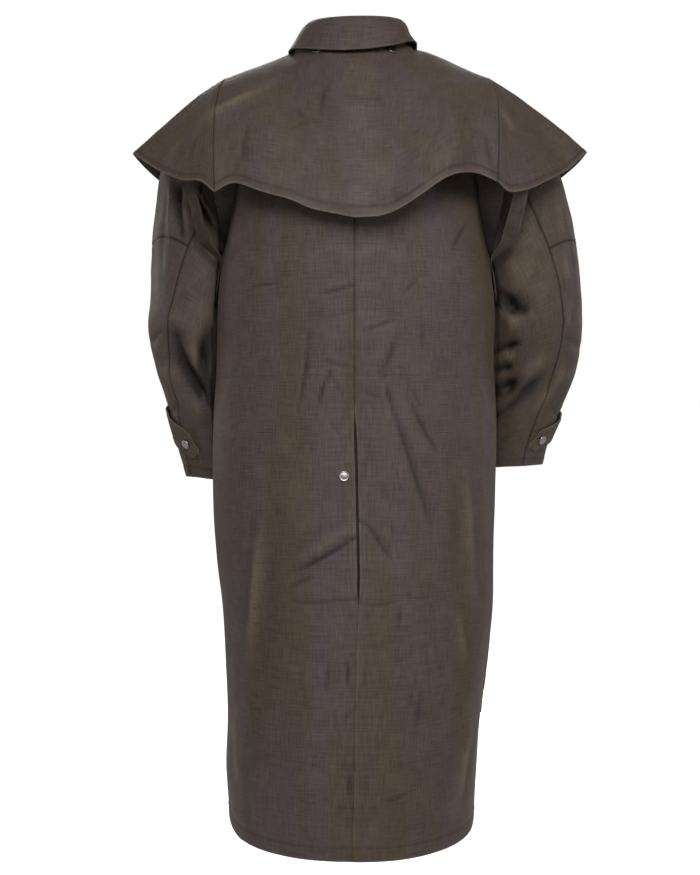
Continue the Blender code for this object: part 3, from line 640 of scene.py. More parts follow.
@dataclass(frozen=True)
class Neckline:
    """The neck seam, round the middle of the neck opening.

    Attributes:
        half_width: Half its width.
        back: How far behind the middle it runs.
        front: How far before it.
        side_rise: How much higher it runs at the sides than at the back.
        front_drop: How much lower at the front.
        share: Share of a panel's top edge that lies along the neck.
    """

    half_width: float = 0.088
    back: float = 0.078
    front: float = 0.100
    side_rise: float = 0.022
    front_drop: float = 0.055
    share: float = 0.38

    def at(self, angle: Array) -> Array:
        """Points of the seam: angle 0 is the centre back, positive towards the wearer's left."""
        depth = np.where(np.cos(angle) > 0, self.back, self.front)
        drop = np.where(np.cos(angle) > 0, 0.0, self.front_drop)
        rise = self.side_rise * np.sin(angle) ** 2 - drop * np.cos(angle) ** 2
        return points(self.half_width * np.sin(angle), depth * np.cos(angle), rise)

    def shoulder_line(self, q: Array, face: Face, tips: dict[int, float], tip_z: float,
                      out: float = 0.0, up: float = 0.0) -> Array:
        """The top edge of a front or back: the neckline to its side, then out along the shoulder.

        Args:
            q: Shares from the centre, -1 to 1.
            face: Back or front.
            tips: How far out each shoulder's tip lies.
            tip_z: The tips' height.
            out: How far outside the neckline the edge runs.
            up: How far above it.

        Returns:
            Points of the edge.
        """
        share = np.abs(q)
        side = np.where(q > 0, 1.0, -1.0)
        at_neck = np.clip(share / self.share, 0.0, 1.0) * math.pi / 2
        angle = side * (at_neck if face is Face.BACK else math.pi - at_neck)
        neck = self.at(angle)
        neck += out * points(np.sin(angle), np.cos(angle), 0 * angle)
        neck[:, 2] += up
        along = np.clip((share - self.share) / (1 - self.share), 0.0, None)[:, None]
        tip = points(side * np.where(q > 0, tips[1], tips[-1]), 0 * q, tip_z + 0 * q)
        return neck + along * (tip - neck)


BACK_FOLDS = (
    Fold(((98, -817), (72, -804), (40, -787), (-3, -761)), 5, -3.2, (0.1, 0.7), 0.3),
    Fold(((104, -842), (80, -828), (52, -812)), 5, -1.4, (0.2, 0)),
    Fold(((96, -803), (52, -778), (8, -752)), 9, 1.6, (0, 0.5)),
    Fold(((-7, -737), (-25, -750), (-44, -780), (-66, -808)), 4, -2.2, (0.6, 0)),
    Fold(((-14, -730), (-40, -750), (-64, -775)), 8, 1.2, (0.3, 0)),
    Fold(((-50, -545), (-83, -644), (-111, -729), (-128, -775)), 7, -2, (0.5, 0), 0.3),
    Fold(((-70, -560), (-100, -640), (-122, -700)), 11, 1.3),
    Fold(((-80, -545), (-108, -605), (-130, -645)), 6, -1.7, (0.3, 0)),
    Fold(((-110, -601), (-120, -622), (-130, -640)), 4, -1.3),
    Fold(((-62, -455), (-53, -492), (-38, -516)), 5, -1.8, (0.1, 0.5)),
    Fold(((-66, -440), (-47, -474), (-32, -498)), 8, 1),
    Fold(((-57, -500), (-46, -518), (-36, -535)), 4, -1.2),
    Fold(((69, -430), (71, -470), (75, -512), (83, -556), (92, -590)), 4.5, -2, (0.2, 0), 0.3),
    Fold(((36, -513), (50, -543), (56, -572)), 4, -2.6, (0.6, 0), 0.2),
    Fold(((35, -516), (26, -536), (20, -548)), 3.5, -1.3, (0.5, 0)),
    Fold(((52, -494), (24, -503), (2, -506)), 4.5, -1.1, (0.1, 0.4)),
    Fold(((-10, -540), (-29, -549), (-48, -551)), 3.5, -1.5, (0.5, 0)),
    Fold(((-19, -556), (-27, -566), (-31, -578)), 3.5, -1, (0.4, 0)),
    Fold(((-47, -522), (-54, -556), (-65, -574)), 4, -1.3, (0.4, 0)),
    Fold(((-81, -530), (-96, -556), (-107, -574)), 4.5, -1.2, (0.2, 0)),
    Fold(((38, -584), (27, -602), (15, -620)), 4.5, -1.1, (0.2, 0)),
    Fold(((115, -852), (82, -858), (40, -856), (-3, -852)), 4.5, -1.2, (0, 0.8)),
    Fold(((-5, -857), (-38, -861), (-75, -851)), 4, -1.1, (0.7, 0)),
    Fold(((-72, -846), (-95, -852), (-124, -852)), 4, -1.3),
    Fold(((-63, -855), (-67, -880), (-63, -905)), 5, -1.1),
    Fold(((38, -940), (39, -962), (45, -994)), 4.5, -1.5),
    Fold(((-17, -918), (-19, -945), (-13, -978)), 3.5, -1.6, (0.1, 0.2)),
    Fold(((0, -925), (8, -942), (9, -972), (4, -1000)), 4, -2.2, (0.4, 0)),
    Fold(((3, -1010), (12, -1021), (16, -1034)), 4, -1.4, (0.4, 0)),
    Fold(((0, -1085), (7, -1110), (5, -1150)), 6, -1.8, (0.3, 0.3)),
    Fold(((163, -383), (139, -378), (112, -378)), 4, -1.5, (0.2, 0)),
    Fold(((65, -397), (36, -392), (3, -384)), 4.5, -1.9, (0, 0.6)),
    Fold(((62, -388), (34, -382), (4, -374)), 8, 0.8),
    Fold(((44, -430), (22, -427), (2, -421)), 4, -1.2, (0, 0.5)),
    Fold(((-10, -452), (-39, -443), (-72, -431)), 4, -1.5, (0.4, 0)),
    Fold(((-70, -399), (-88, -381), (-104, -362)), 4.5, -1.4),
    Fold(((-147, -330), (-160, -305), (-175, -277)), 6, -1.6, (0, 0.3)),
    Fold(((-98, -420), (-104, -450), (-100, -490)), 6, -1),
    Fold(((150, -300), (128, -340), (120, -400)), 15, -1.6),
    Fold(((-96, -975), (-95, -1015), (-88, -1058)), 8, -1.2),
    Fold(((-38, -1140), (-60, -1137), (-86, -1127)), 4.5, -1.3, (0.2, 0)),
    Fold(((134, -690), (147, -794), (153, -870), (162, -950), (171, -1002)), 8, 3.4, (0, 0.1), 0.4),
    Fold(((152, -690), (166, -800), (172, -880)), 14, -1.8),
    Fold(((184, -990), (183, -1083), (170, -1165)), 8, 2.2, (0.1, 0.3)),
    Fold(((-164, -610), (-174, -700), (-180, -794), (-182, -885)), 7, 2.6, (0, 0.1), -0.4),
    Fold(((-156, -860), (-162, -915), (-172, -972)), 7, 2.4, (0.1, 0), -0.3),
    Fold(((-178, -1035), (-170, -1089), (-150, -1178)), 8, 2.6, (0.1, 0.3), -0.3),
    Fold(((-150, -640), (-160, -740), (-160, -850)), 15, -1.6),
    Fold(((96, -600), (100, -700), (92, -780)), 26, 1.8),
    Fold(((60, -620), (52, -700), (58, -760)), 20, -1),
)

FRONT_FOLDS = (
    Fold(((150, -380), (120, -386), (92, -400)), 5, -1.8, (0.3, 0)),
    Fold(((60, -430), (78, -500), (82, -570)), 6, -1.8),
    Fold(((100, -560), (126, -640), (130, -720)), 8, -2.2, (0.2, 0)),
    Fold(((130, -620), (150, -760), (146, -900)), 12, 2.6),
    Fold(((44, -640), (70, -660), (112, -668)), 5, -1.6, (0.4, 0)),
    Fold(((46, -860), (84, -905), (120, -925)), 6, -2, (0.4, 0)),
    Fold(((160, -960), (170, -1060), (158, -1170)), 9, 2.4, (0.1, 0.4)),
    Fold(((92, -960), (96, -1050), (86, -1150)), 16, -2.2, (0, 0.3)),
    Fold(((-152, -372), (-126, -392), (-90, -396)), 5, -1.7, (0.3, 0)),
    Fold(((-58, -450), (-70, -520), (-64, -590)), 6, -1.9),
    Fold(((-92, -540), (-118, -630), (-124, -730)), 8, -2, (0.2, 0)),
    Fold(((-128, -640), (-152, -770), (-158, -910)), 12, 2.5),
    Fold(((-40, -742), (-72, -752), (-108, -742)), 5, -1.7, (0.3, 0)),
    Fold(((-42, -884), (-70, -930), (-112, -944)), 6, -1.8, (0.4, 0)),
    Fold(((-150, -980), (-166, -1070), (-150, -1176)), 9, 2.4, (0.1, 0.4)),
    Fold(((-84, -980), (-92, -1060), (-80, -1160)), 16, -2, (0, 0.3)),
)


@dataclass(frozen=True)
class Body:
    """The backs, the fronts and the strip behind the vent.

    Attributes:
        neck: The neck seam.
        rings: From the underarm to the hem: height, half widths left and right, half depths back
            and front.
        tips: How far out each shoulder's tip lies.
        tip_z: The tips' height.
        overlap: How far the fronts lap.
        flap_lift: How far a lapping edge stands off the one below.
        vent_lap: How far the vent's edges lap near the hem.
        hem: Height of the turned hem.
        hem_rise: How much higher the hem hangs at the side seams.
        fell: Width of the felled centre back seam.
        cell: Size of the wall's cells on the back and on the front.
        back_cut: Flat width and length of a back half.
        front_cut: Flat width and length of a front half.
        strip_cut: Flat width and length of the strip behind the vent.
    """

    neck: Neckline = Neckline()
    rings: tuple[tuple[float, ...], ...] = (
        (-0.320, 0.216, 0.222, 0.165, 0.150),
        (-0.386, 0.222, 0.229, 0.168, 0.152),
        (-0.501, 0.225, 0.229, 0.168, 0.150),
        (-0.582, 0.229, 0.233, 0.172, 0.150),
        (-0.698, 0.230, 0.230, 0.182, 0.153),
        (-0.797, 0.224, 0.227, 0.193, 0.158),
        (-0.880, 0.214, 0.226, 0.203, 0.165),
        (-0.970, 0.209, 0.217, 0.215, 0.175),
        (-1.044, 0.206, 0.207, 0.226, 0.185),
        (-1.143, 0.208, 0.199, 0.242, 0.198),
        (-1.222, 0.203, 0.194, 0.254, 0.208),
    )
    tips: tuple[float, float] = (0.222, 0.236)
    tip_z: float = -0.038
    overlap: float = 0.030
    flap_lift: float = 0.0030
    vent_lap: float = 0.014
    hem: float = 0.018
    hem_rise: float = 0.010
    fell: float = 0.008
    cell: tuple[float, float] = (0.0031, 0.0056)
    back_cut: tuple[float, float] = (0.310, 1.250)
    front_cut: tuple[float, float] = (0.335, 1.215)
    strip_cut: tuple[float, float] = (0.110, 0.660)

    def sizes_at(self, z: Array) -> Array:
        """Half widths left and right, and half depths back and front, at each height."""
        rows = np.array(self.rings)[::-1]
        return smooth_values(rows[:, 0], rows[:, 1:], z).T

    def ring(self, q: Array, z: Array, face: Face) -> Array:
        """Points below the armholes: q runs from -1 at the right side seam over the centre."""
        left, right, behind, before = self.sizes_at(z)
        turn = q * math.pi / 2
        width = np.where(q > 0, left, right)
        depth = behind if face is Face.BACK else -before
        x = width * signed_power(np.sin(turn), 2 / ROUNDNESS)
        y = depth * signed_power(np.cos(turn), 2 / ROUNDNESS)
        return points(x, y, z)

    def chest(self, q: Array, t: Array, face: Face) -> Array:
        """Points above the armholes: t runs from the underarm's level to the shoulder and neck."""
        back = face is Face.BACK
        side = np.where(q > 0, 1.0, -1.0)
        share = np.abs(q)
        cube = share**3
        low = self.ring(q, UNDERARM_Z + 0 * q, face)
        tips = {1: self.tips[0], -1: self.tips[1]}
        top = self.neck.shoulder_line(q, face, tips, self.tip_z)
        rise = 0.11 - 0.05 * share
        low_pull = low + points(-0.043 * cube * side, face * (0.008 * (1 - share) + 0.078 * cube), rise)
        spread = (0.062 if back else 0.040) + (0.012 + 0.016 * back) * np.sin(math.pi * share)
        fall = (0.055 if back else 0.080) + 0.012 * share
        top_pull = top + points(-0.040 * cube * side, face * spread, -fall)
        return bent(low, low_pull, top_pull, top, t)

    def surface(self, face: Face) -> Surface:
        """The whole front or back: q across, and v from the hem through the underarm to the top."""
        def at(q: Array, v: Array) -> Array:
            """Points of the surface."""
            low_share = np.clip(v / BELOW, None, 1.0)
            low = self.ring(q, HEM_Z + low_share * (UNDERARM_Z - HEM_Z), face)
            high = self.chest(q, np.clip((v - BELOW) / (1 - BELOW), 0.0, None), face)
            return np.where((v <= BELOW)[:, None], low, high)
        return at

    def direction(self, face: Face) -> Surface:
        """Which way the cloth faces: square to it, and straight up along the shoulder seam."""
        surface = self.surface(face)

        def at(q: Array, v: Array) -> Array:
            """Directions at each place."""
            facing = normals_of(surface, q, v)
            look = points(0 * q, float(face) + 0 * q, 0.3 + 0 * q)
            facing *= np.sign(np.sum(facing * look, axis=1))[:, None]
            outward = points(np.sign(q) * ease(np.abs(q), 0.96, 1.0), 0 * q, 0 * q)
            near_neck = ease(np.abs(q), self.neck.share - 0.1, self.neck.share)[:, None]
            seam = ease(v, 0.90, 1.0)[:, None] * near_neck
            level = points(np.sign(q) * SHOULDER_SLOPE, 0 * q, 1 + 0 * q)
            below = (v < BELOW)[:, None]
            return unit(np.where(below, facing + 4 * outward, facing * (1 - seam) + level * seam))
        return at

    def reach_of(self, placed: Array) -> Array:
        """How far out each point lies, as a share of the body's ring at its own height."""
        left, right, behind, before = self.sizes_at(np.minimum(placed[:, 2], UNDERARM_Z))
        width = np.where(placed[:, 0] > 0, left, right)
        depth = np.where(placed[:, 1] > 0, behind, before)
        return (np.abs(placed[:, 0] / width) ** ROUNDNESS
                + np.abs(placed[:, 1] / depth) ** ROUNDNESS) ** (1 / ROUNDNESS)

    @staticmethod
    def share_of_height(z: Array | float) -> Array | float:
        """The v of a height below the underarm."""
        return BELOW * (z - HEM_Z) / (UNDERARM_Z - HEM_Z)

    @staticmethod
    def q_of_x(x: Array, width: float = 0.22) -> Array:
        """The q of a place near the centre."""
        return np.sign(x) * 2 / math.pi * np.arcsin(np.clip(np.abs(x) / width, 0, 1) ** (ROUNDNESS / 2))

    @staticmethod
    def slit_x(z: Array) -> Array:
        """Where the vent's slit runs, from its top at the waist to the hem."""
        knots = (HEM_Z, -1.09, -0.93, -0.817, -0.74, -0.66, VENT_TOP_Z, 0.1)
        wander = (0.003, 0.000, -0.003, -0.006, -0.0045, -0.003, 0.0, 0.0)
        return np.interp(z, knots, wander)

    def lay(self, face: Face, side: Side) -> Spread:
        """How the cloth of a back or front half lies, at q and v.

        Args:
            face: Back or front.
            side: Which half.

        Returns:
            A function of q and v.
        """
        surface, direction = self.surface(face), self.direction(face)
        folds = BACK_FOLDS if face is Face.BACK else FRONT_FOLDS

        def at(q: Array, v: Array) -> Lay:
            """The creased and sewn cloth at each place."""
            spots, facing = surface(q, v), direction(q, v)
            x, z = spots[:, 0], spots[:, 2]
            inside = ease(np.abs(q), 0.995, 0.90)
            whole, lines = relief(folds, x, z, 9.5)
            drawn = whole * inside
            still = ease(z, -0.16, -0.26)
            drawn += 0.0016 * ripple(spots, 0.085, 4.0, 3.1) * still
            drawn += 0.0007 * ripple(spots, 0.034, 1.8, 8.7) * still
            at_seam = seam_line(x, 0.012) if face is Face.BACK else 0.0 * x
            drawn += 0.0008 * at_seam * ripple(spots, 0.014, 1.0, 5.3) * still
            from_hem = z - HEM_Z - self.hem
            drawn += 0.0006 * seam_line(from_hem, 0.012) * ripple(spots, 0.013, 1.0, 6.1)
            at_row = seam_line(z - BACK_ROW_Z, 0.010) * (face is Face.BACK)
            drawn += 0.0007 * at_row * ripple(spots, 0.016, 1.0, 7.7) * inside
            sewn = seam_line(z - BACK_ROW_Z, 0.0009) * 0.35 * inside * (face is Face.BACK)
            sewn = np.maximum(sewn, seam_line(from_hem) * 0.45)
            proud = DOUBLED * ease(from_hem, STEP, -STEP)
            above = ease(z, VENT_TOP_Z - 0.002, VENT_TOP_Z)
            if face is Face.BACK and side is Side.LEFT:
                in_fell = ease(x, self.fell + 0.0005, self.fell - 0.0005)
                proud = np.maximum(proud, 0.0006 * in_fell * above)
                sewn = np.maximum(sewn, seam_line(x - self.fell, 0.0009) * above * 0.35)
            if face is Face.BACK:
                sewn = np.maximum(sewn, 0.7 * seam_line(x, 0.0010) * above)
            edge = ease(z, HEM_Z + 0.004, HEM_Z)
            # Painted highlight down the sides, where the cloth turns away.
            sides = ease(np.abs(q), 0.97, 1.0) * ease(z, -0.33, -0.45)
            # Scuffing on the hem's edge; on narrow creases, scuffing with a painted highlight on ridges and
            # painted shade in troughs; then the side highlight, painted shade along the seams and stitch
            # rows, and painted shade under the arms by the armholes.
            rubbed_and_painted_light = rubbing(lines, np.where(lines > 0, 0.0034, 0.0021)) + 0.5 * edge
            rubbed_and_painted_light += 0.4 * sides - 0.75 * sewn
            rubbed_and_painted_light -= 0.95 * ease(np.abs(q), 0.70, 0.84) * ease(z, -0.350, -0.305)
            drawn -= 0.0005 * sewn
            spots[:, 2] += self.hem_rise * ease(np.abs(q), 0.60, 1.0) * ease(z, HEM_Z + 0.12, HEM_Z)
            return Lay(spots + facing * drawn[:, None], facing, proud, rubbed_and_painted_light)
        return at

    def back_grid(self, side: Side) -> Spread:
        """A back half: it parts from the other at the vent, where the right one laps over below."""
        lay = self.lay(Face.BACK, side)

        def at(u: Array, v: Array) -> Lay:
            """The half at shares u from the centre and v from the hem."""
            z = HEM_Z + np.clip(v / BELOW, None, 1.0) * (UNDERARM_Z - HEM_Z)
            lap = ease(z, -0.83, -0.93)
            raised = ease(z, -0.76, -0.84)
            open_gap = SEAM_GAP / 2 + 0.0019 * ease(z, VENT_TOP_Z, VENT_TOP_Z - 0.05)
            edge = self.slit_x(z) + side * open_gap * (1 - lap)
            if side is Side.LEFT:
                edge = edge - self.vent_lap * lap
            start = self.q_of_x(edge)
            q = start + (side * (1 - SEAM_END) - start) * u
            found = lay(q, np.clip(v, None, 1 - TOP_MARGIN))
            if side is Side.RIGHT:
                lift = self.flap_lift * raised * ease(u, 0.36, 0.12)
                found.spots = found.spots + found.facing * lift[:, None]
            vent = ease(z, VENT_TOP_Z + 0.002, VENT_TOP_Z - 0.01)
            rolled = 0.0007 * vent * ease(u, 0.012, 0.0)
            found.spots = found.spots - found.facing * rolled[:, None]
            found.wear = found.wear + 0.2 * vent * ease(u, 0.012, 0.002)
            return found
        return at

    def front_grid(self, side: Side) -> Spread:
        """A front half: the wearer's left one laps over the right one down the centre."""
        lay = self.lay(Face.FRONT, side)

        def at(u: Array, v: Array) -> Lay:
            """The half at shares u from its front edge and v from the hem."""
            start = self.q_of_x(-side * self.overlap + 0 * u) * (0.25 + 0.75 * ease(v, 1.0, 0.8))
            q = start + (side * (1 - SEAM_END) - start) * u
            found = lay(q, np.clip(v, None, 1 - TOP_MARGIN))
            lift = (self.flap_lift if side is Side.LEFT else 0.0) * ease(u, 0.45, 0.20)
            found.spots = found.spots + found.facing * lift[:, None]
            facing_band = DOUBLED * ease(u, 0.186, 0.182) * (side is Side.LEFT)
            found.proud = np.maximum(found.proud, facing_band)
            found.wear = found.wear + 0.4 * ease(u, 0.014, 0.0)
            return found
        return at

    def strip_grid(self, u: Array, v: Array) -> Lay:
        """The strip that closes the vent from inside, a little behind both edges."""
        x = (u - 0.5) * self.strip_cut[0]
        z = HEM_Z + 0.012 + (VENT_TOP_Z - HEM_Z) * v
        q, share = self.q_of_x(x), self.share_of_height(z)
        surface, facing = self.surface(Face.BACK), self.direction(Face.BACK)(q, share)
        sunk = 0.0030 + 0.0030 * np.exp(-((x / 0.02) ** 2))
        # The strip is given full painted shade, so that the open slit looks dark.
        return Lay(surface(q, share) - facing * sunk[:, None], facing, 0 * u, 0 * u - 1)

    def build(self, finish: Finishes) -> dict[str, Piece]:
        """Makes and dresses the body's pieces.

        Args:
            finish: Materials by slot.

        Returns:
            The pieces by name.
        """
        made = {}
        for side in Side:
            row = self.share_of_height(BACK_ROW_Z) * self.back_cut[1]
            for word, grid, cut, cell, columns, rows in (
                    ("back", self.back_grid, self.back_cut, self.cell[0], (0.002, self.fell),
                     (row - 0.0018, row, row + 0.0018)),
                    ("front", self.front_grid, self.front_cut, self.cell[1], (0.002, 0.0575), ())):
                name = f"{word}_{side.label}"
                hem_row = self.share_of_height(HEM_Z + self.hem) * cut[1]
                piece = make_wall(f"{name}_cloth", grid(side), ticks(cut[0], cell, columns),
                                  ticks(cut[1], cell, (hem_row, *rows)), CLOTH, cut)
                dress(piece, finish[f"oilskin_{word}"], f"oilskin_{word}", name)
                made[name] = piece
        cut = self.strip_cut
        strip = make_wall("vent_strip_cloth", self.strip_grid, ticks(cut[0], 0.006), ticks(cut[1], 0.008),
                          CLOTH, cut)
        dress(strip, finish["oilskin_trim"], "oilskin_trim", "vent_gusset")
        return made


SLEEVE_FOLDS = {
    Side.LEFT: {
        Outlook.BEHIND: (
            Fold(((290, -446), (282, -486), (268, -514), (246, -543), (220, -560)), 16, -18, (0.3, 1), 0.2),
            Fold(((300, -490), (284, -528), (256, -562), (226, -582)), 17, 5, (0.1, 0.6)),
            Fold(((227, -440), (240, -470), (243, -500), (232, -528)), 15, -17, (0.6, 0.3)),
            Fold(((262, -460), (254, -492), (240, -520)), 9, 4),
            Fold(((219, -392), (224, -410), (220, -430)), 7, -4, (0.5, 0.2)),
            Fold(((262, -210), (246, -236), (228, -268), (212, -292)), 5, -5.5, (0.8, 0.8), 0.3),
            Fold(((265, -222), (250, -252), (232, -284), (208, -312)), 5, 3.6, (0.6, 0.8)),
            Fold(((256, -208), (242, -232), (224, -262)), 3.5, 3, (0.7, 0.5)),
            Fold(((270, -262), (256, -286), (257, -318)), 6, -2.2, (0.4, 0)),
            Fold(((262, -300), (240, -320), (222, -340)), 7, -1.8),
            Fold(((299, -205), (300, -250), (298, -304)), 4, 3, (0.6, 0.2)),
            Fold(((286, -205), (285, -250), (277, -298)), 8, -9, (0.8, 0.1)),
            Fold(((270, -205), (272, -250), (268, -292)), 5, 3, (0.6, 0.2)),
            Fold(((282, -582), (262, -622), (247, -668)), 8, -2.2),
            Fold(((240, -592), (228, -630), (220, -668)), 10, -2.6, (0.2, 0.3)),
            Fold(((300, -400), (280, -430), (262, -444)), 12, 2),
        ),
        Outlook.BEFORE: (
            Fold(((284, -440), (262, -470), (226, -492)), 11, -8, (0.1, 0.8), 0.2),
            Fold(((298, -470), (276, -510), (228, -530)), 14, 4, (0, 0.6)),
            Fold(((280, -520), (250, -556), (214, -570)), 10, -6, (0.1, 0.7)),
            Fold(((270, -230), (250, -280), (226, -320)), 9, -3.5, (0.4, 0.6)),
            Fold(((254, -600), (240, -640), (232, -676)), 9, -2.6, (0.2, 0.2)),
        ),
        Outlook.BESIDE: (
            Fold(((30, -430), (-20, -452), (-60, -446)), 9, -2),
            Fold(((44, -480), (0, -505), (-50, -500)), 12, 2.6),
            Fold(((10, -220), (4, -300), (12, -380)), 12, -2.4, (0.3, 0)),
            Fold(((-40, -230), (-44, -320), (-36, -400)), 10, 2.4, (0.3, 0)),
            Fold(((-10, -540), (-50, -566), (-96, -566)), 8, -3.2),
        ),
    },
    Side.RIGHT: {
        Outlook.BEHIND: (
            Fold(((-222, -366), (-236, -386), (-256, -402), (-270, -407)), 16, -24, (0.9, 0.3), 0.4),
            Fold(((-226, -352), (-246, -372), (-270, -390)), 10, 3.5, (0.4, 0)),
            Fold(((-224, -412), (-247, -424), (-276, -420)), 14, 4.5, (0.7, 0)),
            Fold(((-222, -470), (-244, -466), (-276, -456)), 9, -9, (0.9, 0), 0.3),
            Fold(((-222, -496), (-240, -499), (-262, -498)), 9, -13, (1, 0), 0.3),
            Fold(((-222, -484), (-244, -482), (-270, -480)), 7, 3, (0.6, 0)),
            Fold(((-222, -532), (-244, -533), (-270, -516)), 16, -17, (1, 0.1)),
            Fold(((-322, -496), (-292, -526), (-254, -564), (-226, -580)), 14, -8, (0.1, 0.8), 0.3),
            Fold(((-316, -476), (-286, -504), (-262, -520)), 12, 3.5),
            Fold(((-333, -520), (-308, -552), (-290, -580)), 8, 3),
            Fold(((-298, -222), (-300, -262), (-296, -300)), 7, -2, (0.4, 0)),
            Fold(((-326, -205), (-334, -250), (-337, -296)), 5, 2.8, (0.5, 0.3)),
            Fold(((-338, -300), (-344, -336), (-352, -362)), 4, 2.4, (0.4, 0)),
            Fold(((-352, -380), (-346, -420), (-354, -450)), 5, 2),
            Fold(((-345, -470), (-340, -506), (-322, -548)), 5, 2.4),
            Fold(((-228, -318), (-244, -296), (-266, -272)), 8, -3, (0.6, 0)),
            Fold(((-264, -600), (-244, -622), (-226, -634)), 9, -2.8, (0.1, 0.4)),
        ),
        Outlook.BEFORE: (
            Fold(((-334, -440), (-290, -478), (-232, -500)), 12, -8, (0.1, 0.8), 0.2),
            Fold(((-340, -480), (-300, -520), (-236, -540)), 14, 4, (0, 0.6)),
            Fold(((-322, -530), (-282, -566), (-226, -580)), 10, -5.5, (0.1, 0.7)),
            Fold(((-286, -240), (-258, -290), (-234, -330)), 9, -3.5, (0.4, 0.6)),
            Fold(((-300, -600), (-276, -630), (-252, -650)), 9, -2.4, (0.2, 0.2)),
        ),
        Outlook.BESIDE: (
            Fold(((34, -440), (-16, -462), (-56, -456)), 9, -2),
            Fold(((44, -486), (0, -512), (-52, -506)), 12, 2.6),
            Fold(((14, -230), (8, -310), (14, -390)), 12, -2.4, (0.3, 0)),
            Fold(((-38, -240), (-42, -330), (-34, -410)), 10, 2.4, (0.3, 0)),
            Fold(((-6, -548), (-48, -572), (-94, -570)), 8, -3),
        ),
    },
}


@dataclass(frozen=True)
class Sleeve:
    """One sleeve in three pieces, and the pointed tab at its cuff.

    Attributes:
        side: Which arm.
        body: The body that it is set into.
        rings: From armhole to cuff: outermost point, innermost point, half depths back and front.
        back_seam: Share of the length, and degrees that the back seam runs behind the outer line.
        front_seam: Degrees that the front seam runs before it.
        cross_seam: Share of the length at which the upper and lower parts meet.
        clearance: How far it lies off the side of the body.
        armhole_gap: How far its top edge lies from the armhole's.
        hem: Height of the turned cuff.
        around: Widest measure round the sleeve.
        length: Length along the sleeve.
        radius: Mean radius, which turns metres round the sleeve into an angle.
        ridge: How far from a seam the cloth swells most.
        cell: Size of the wall's cells.
        tab_start: Degrees before the outer line at which the tab starts.
        tab_sweep: Degrees that it runs round the cuff.
        tab_snap_at: Share of its length at which its snap sits.
        tab_seat: How far its ends lie off the sleeve.
        tab_bow: How much further its middle does.
        tab_width: Its width, as a share of the sleeve's length.
        tab_cut: Its flat width and length.
    """

    side: Side
    body: Body
    rings: tuple
    back_seam: tuple[tuple[float, float], ...]
    front_seam: float = 75.0
    cross_seam: float = 0.42
    clearance: float = 0.0050
    armhole_gap: float = 0.0012
    hem: float = 0.020
    around: float = 0.520
    length: float = 0.640
    radius: float = 0.08
    ridge: float = 0.0055
    cell: float = 0.0048
    tab_start: float = 55.0
    tab_sweep: float = 108.0
    tab_snap_at: float = 0.80
    tab_seat: float = 0.0006
    tab_bow: float = 0.0045
    tab_width: float = 0.062
    tab_cut: tuple[float, float] = (0.040, 0.118)

    def loop_share(self, turn: Array) -> Array:
        """Height share up the armhole of a turn round it."""
        return np.where(turn <= math.pi, turn, 2 * math.pi - turn) / math.pi

    def armhole(self, turn: Array) -> Array:
        """The armhole loop: turn 0 is the underarm, half a turn the shoulder, by way of the back."""
        side, share = float(self.side), self.loop_share(turn)
        q = side * (1 + 0 * turn)
        v = BELOW + share * (1 - BELOW)
        behind, before = self.body.surface(Face.BACK), self.body.surface(Face.FRONT)
        backwards = (turn <= math.pi)[:, None]
        edge = np.where(backwards, behind(q, v), before(q, v))
        away = edge - np.where(backwards, behind(q - side * 0.02, v), before(q - side * 0.02, v))
        at_foot = ease(share, 0.12, 0.0)[:, None]
        down = points(0.5 * side + 0 * q, 0 * q, -1 + 0 * q)
        return edge + unit(unit(away) * (1 - at_foot) + down * at_foot) * self.armhole_gap

    def armhole_direction(self, turn: Array) -> Array:
        """Which way the cloth faces along the armhole."""
        share = self.loop_share(turn)
        q = self.side * (1.0 + 0 * turn)
        v = BELOW + 0.001 + share * (1 - BELOW)
        behind = self.body.direction(Face.BACK)(q, v)
        before = self.body.direction(Face.FRONT)(q, v)
        mixed = np.where((turn <= math.pi)[:, None], behind, before)
        at_foot = ease(share, 0.12, 0.0)[:, None]
        return unit(mixed * (1 - at_foot) + points(self.side + 0 * turn, 0 * turn, 0 * turn) * at_foot)

    def clear_of_body(self, placed: Array, share: Array, s: Array) -> Array:
        """Points pressed outwards where the sleeve lies against the side of the body."""
        reach = self.body.reach_of(placed)
        least = 1 + (0.0008 + (self.clearance - 0.0008) * ease(s, 0.16, 0.34)) / 0.2
        pressed = (reach + least + np.sqrt((reach - least) ** 2 + 0.02**2)) / 2
        scale = 1 + (pressed / reach - 1) * share
        return placed * points(scale, scale, 1 + 0 * scale)

    def surface(self, turn: Array, s: Array) -> Array:
        """The tube: turn runs round it from the inner line by the back, s from armhole to cuff."""
        count = len(self.rings)
        knots = np.linspace(0.0, 1.0, count + 1)
        rings = [self.armhole(np.mod(turn, 2 * math.pi))]
        for outer, inner, back, front in self.rings:
            middle = (np.array(outer) + inner) / 2
            reach = (np.array(outer) - inner) / 2
            across = np.cross(reach, (0.0, 0.0, 1.0))
            across *= np.sign(across[1]) / np.linalg.norm(across)
            depth = np.where(np.sin(turn) > 0, back, front)
            rings.append(middle - np.cos(turn)[:, None] * reach
                         + (np.sin(turn) * depth)[:, None] * across)
        stack = np.stack(rings)
        slopes = np.gradient(stack, knots, axis=0)
        index = np.clip(np.searchsorted(knots, s, side="right") - 1, 0, count - 1)
        span = 1.0 / count
        t = (s / span - index)[:, None]
        row = np.arange(len(s))
        low, high = stack[index, row], stack[index + 1, row]
        low_slope, high_slope = slopes[index, row] * span, slopes[index + 1, row] * span
        placed = (low * (2 * t**3 - 3 * t**2 + 1) + high * (3 * t**2 - 2 * t**3)
                  + low_slope * (t**3 - 2 * t**2 + t) + high_slope * (t**3 - t**2))
        return self.clear_of_body(placed, ease(s, 0.0, 0.07), s)

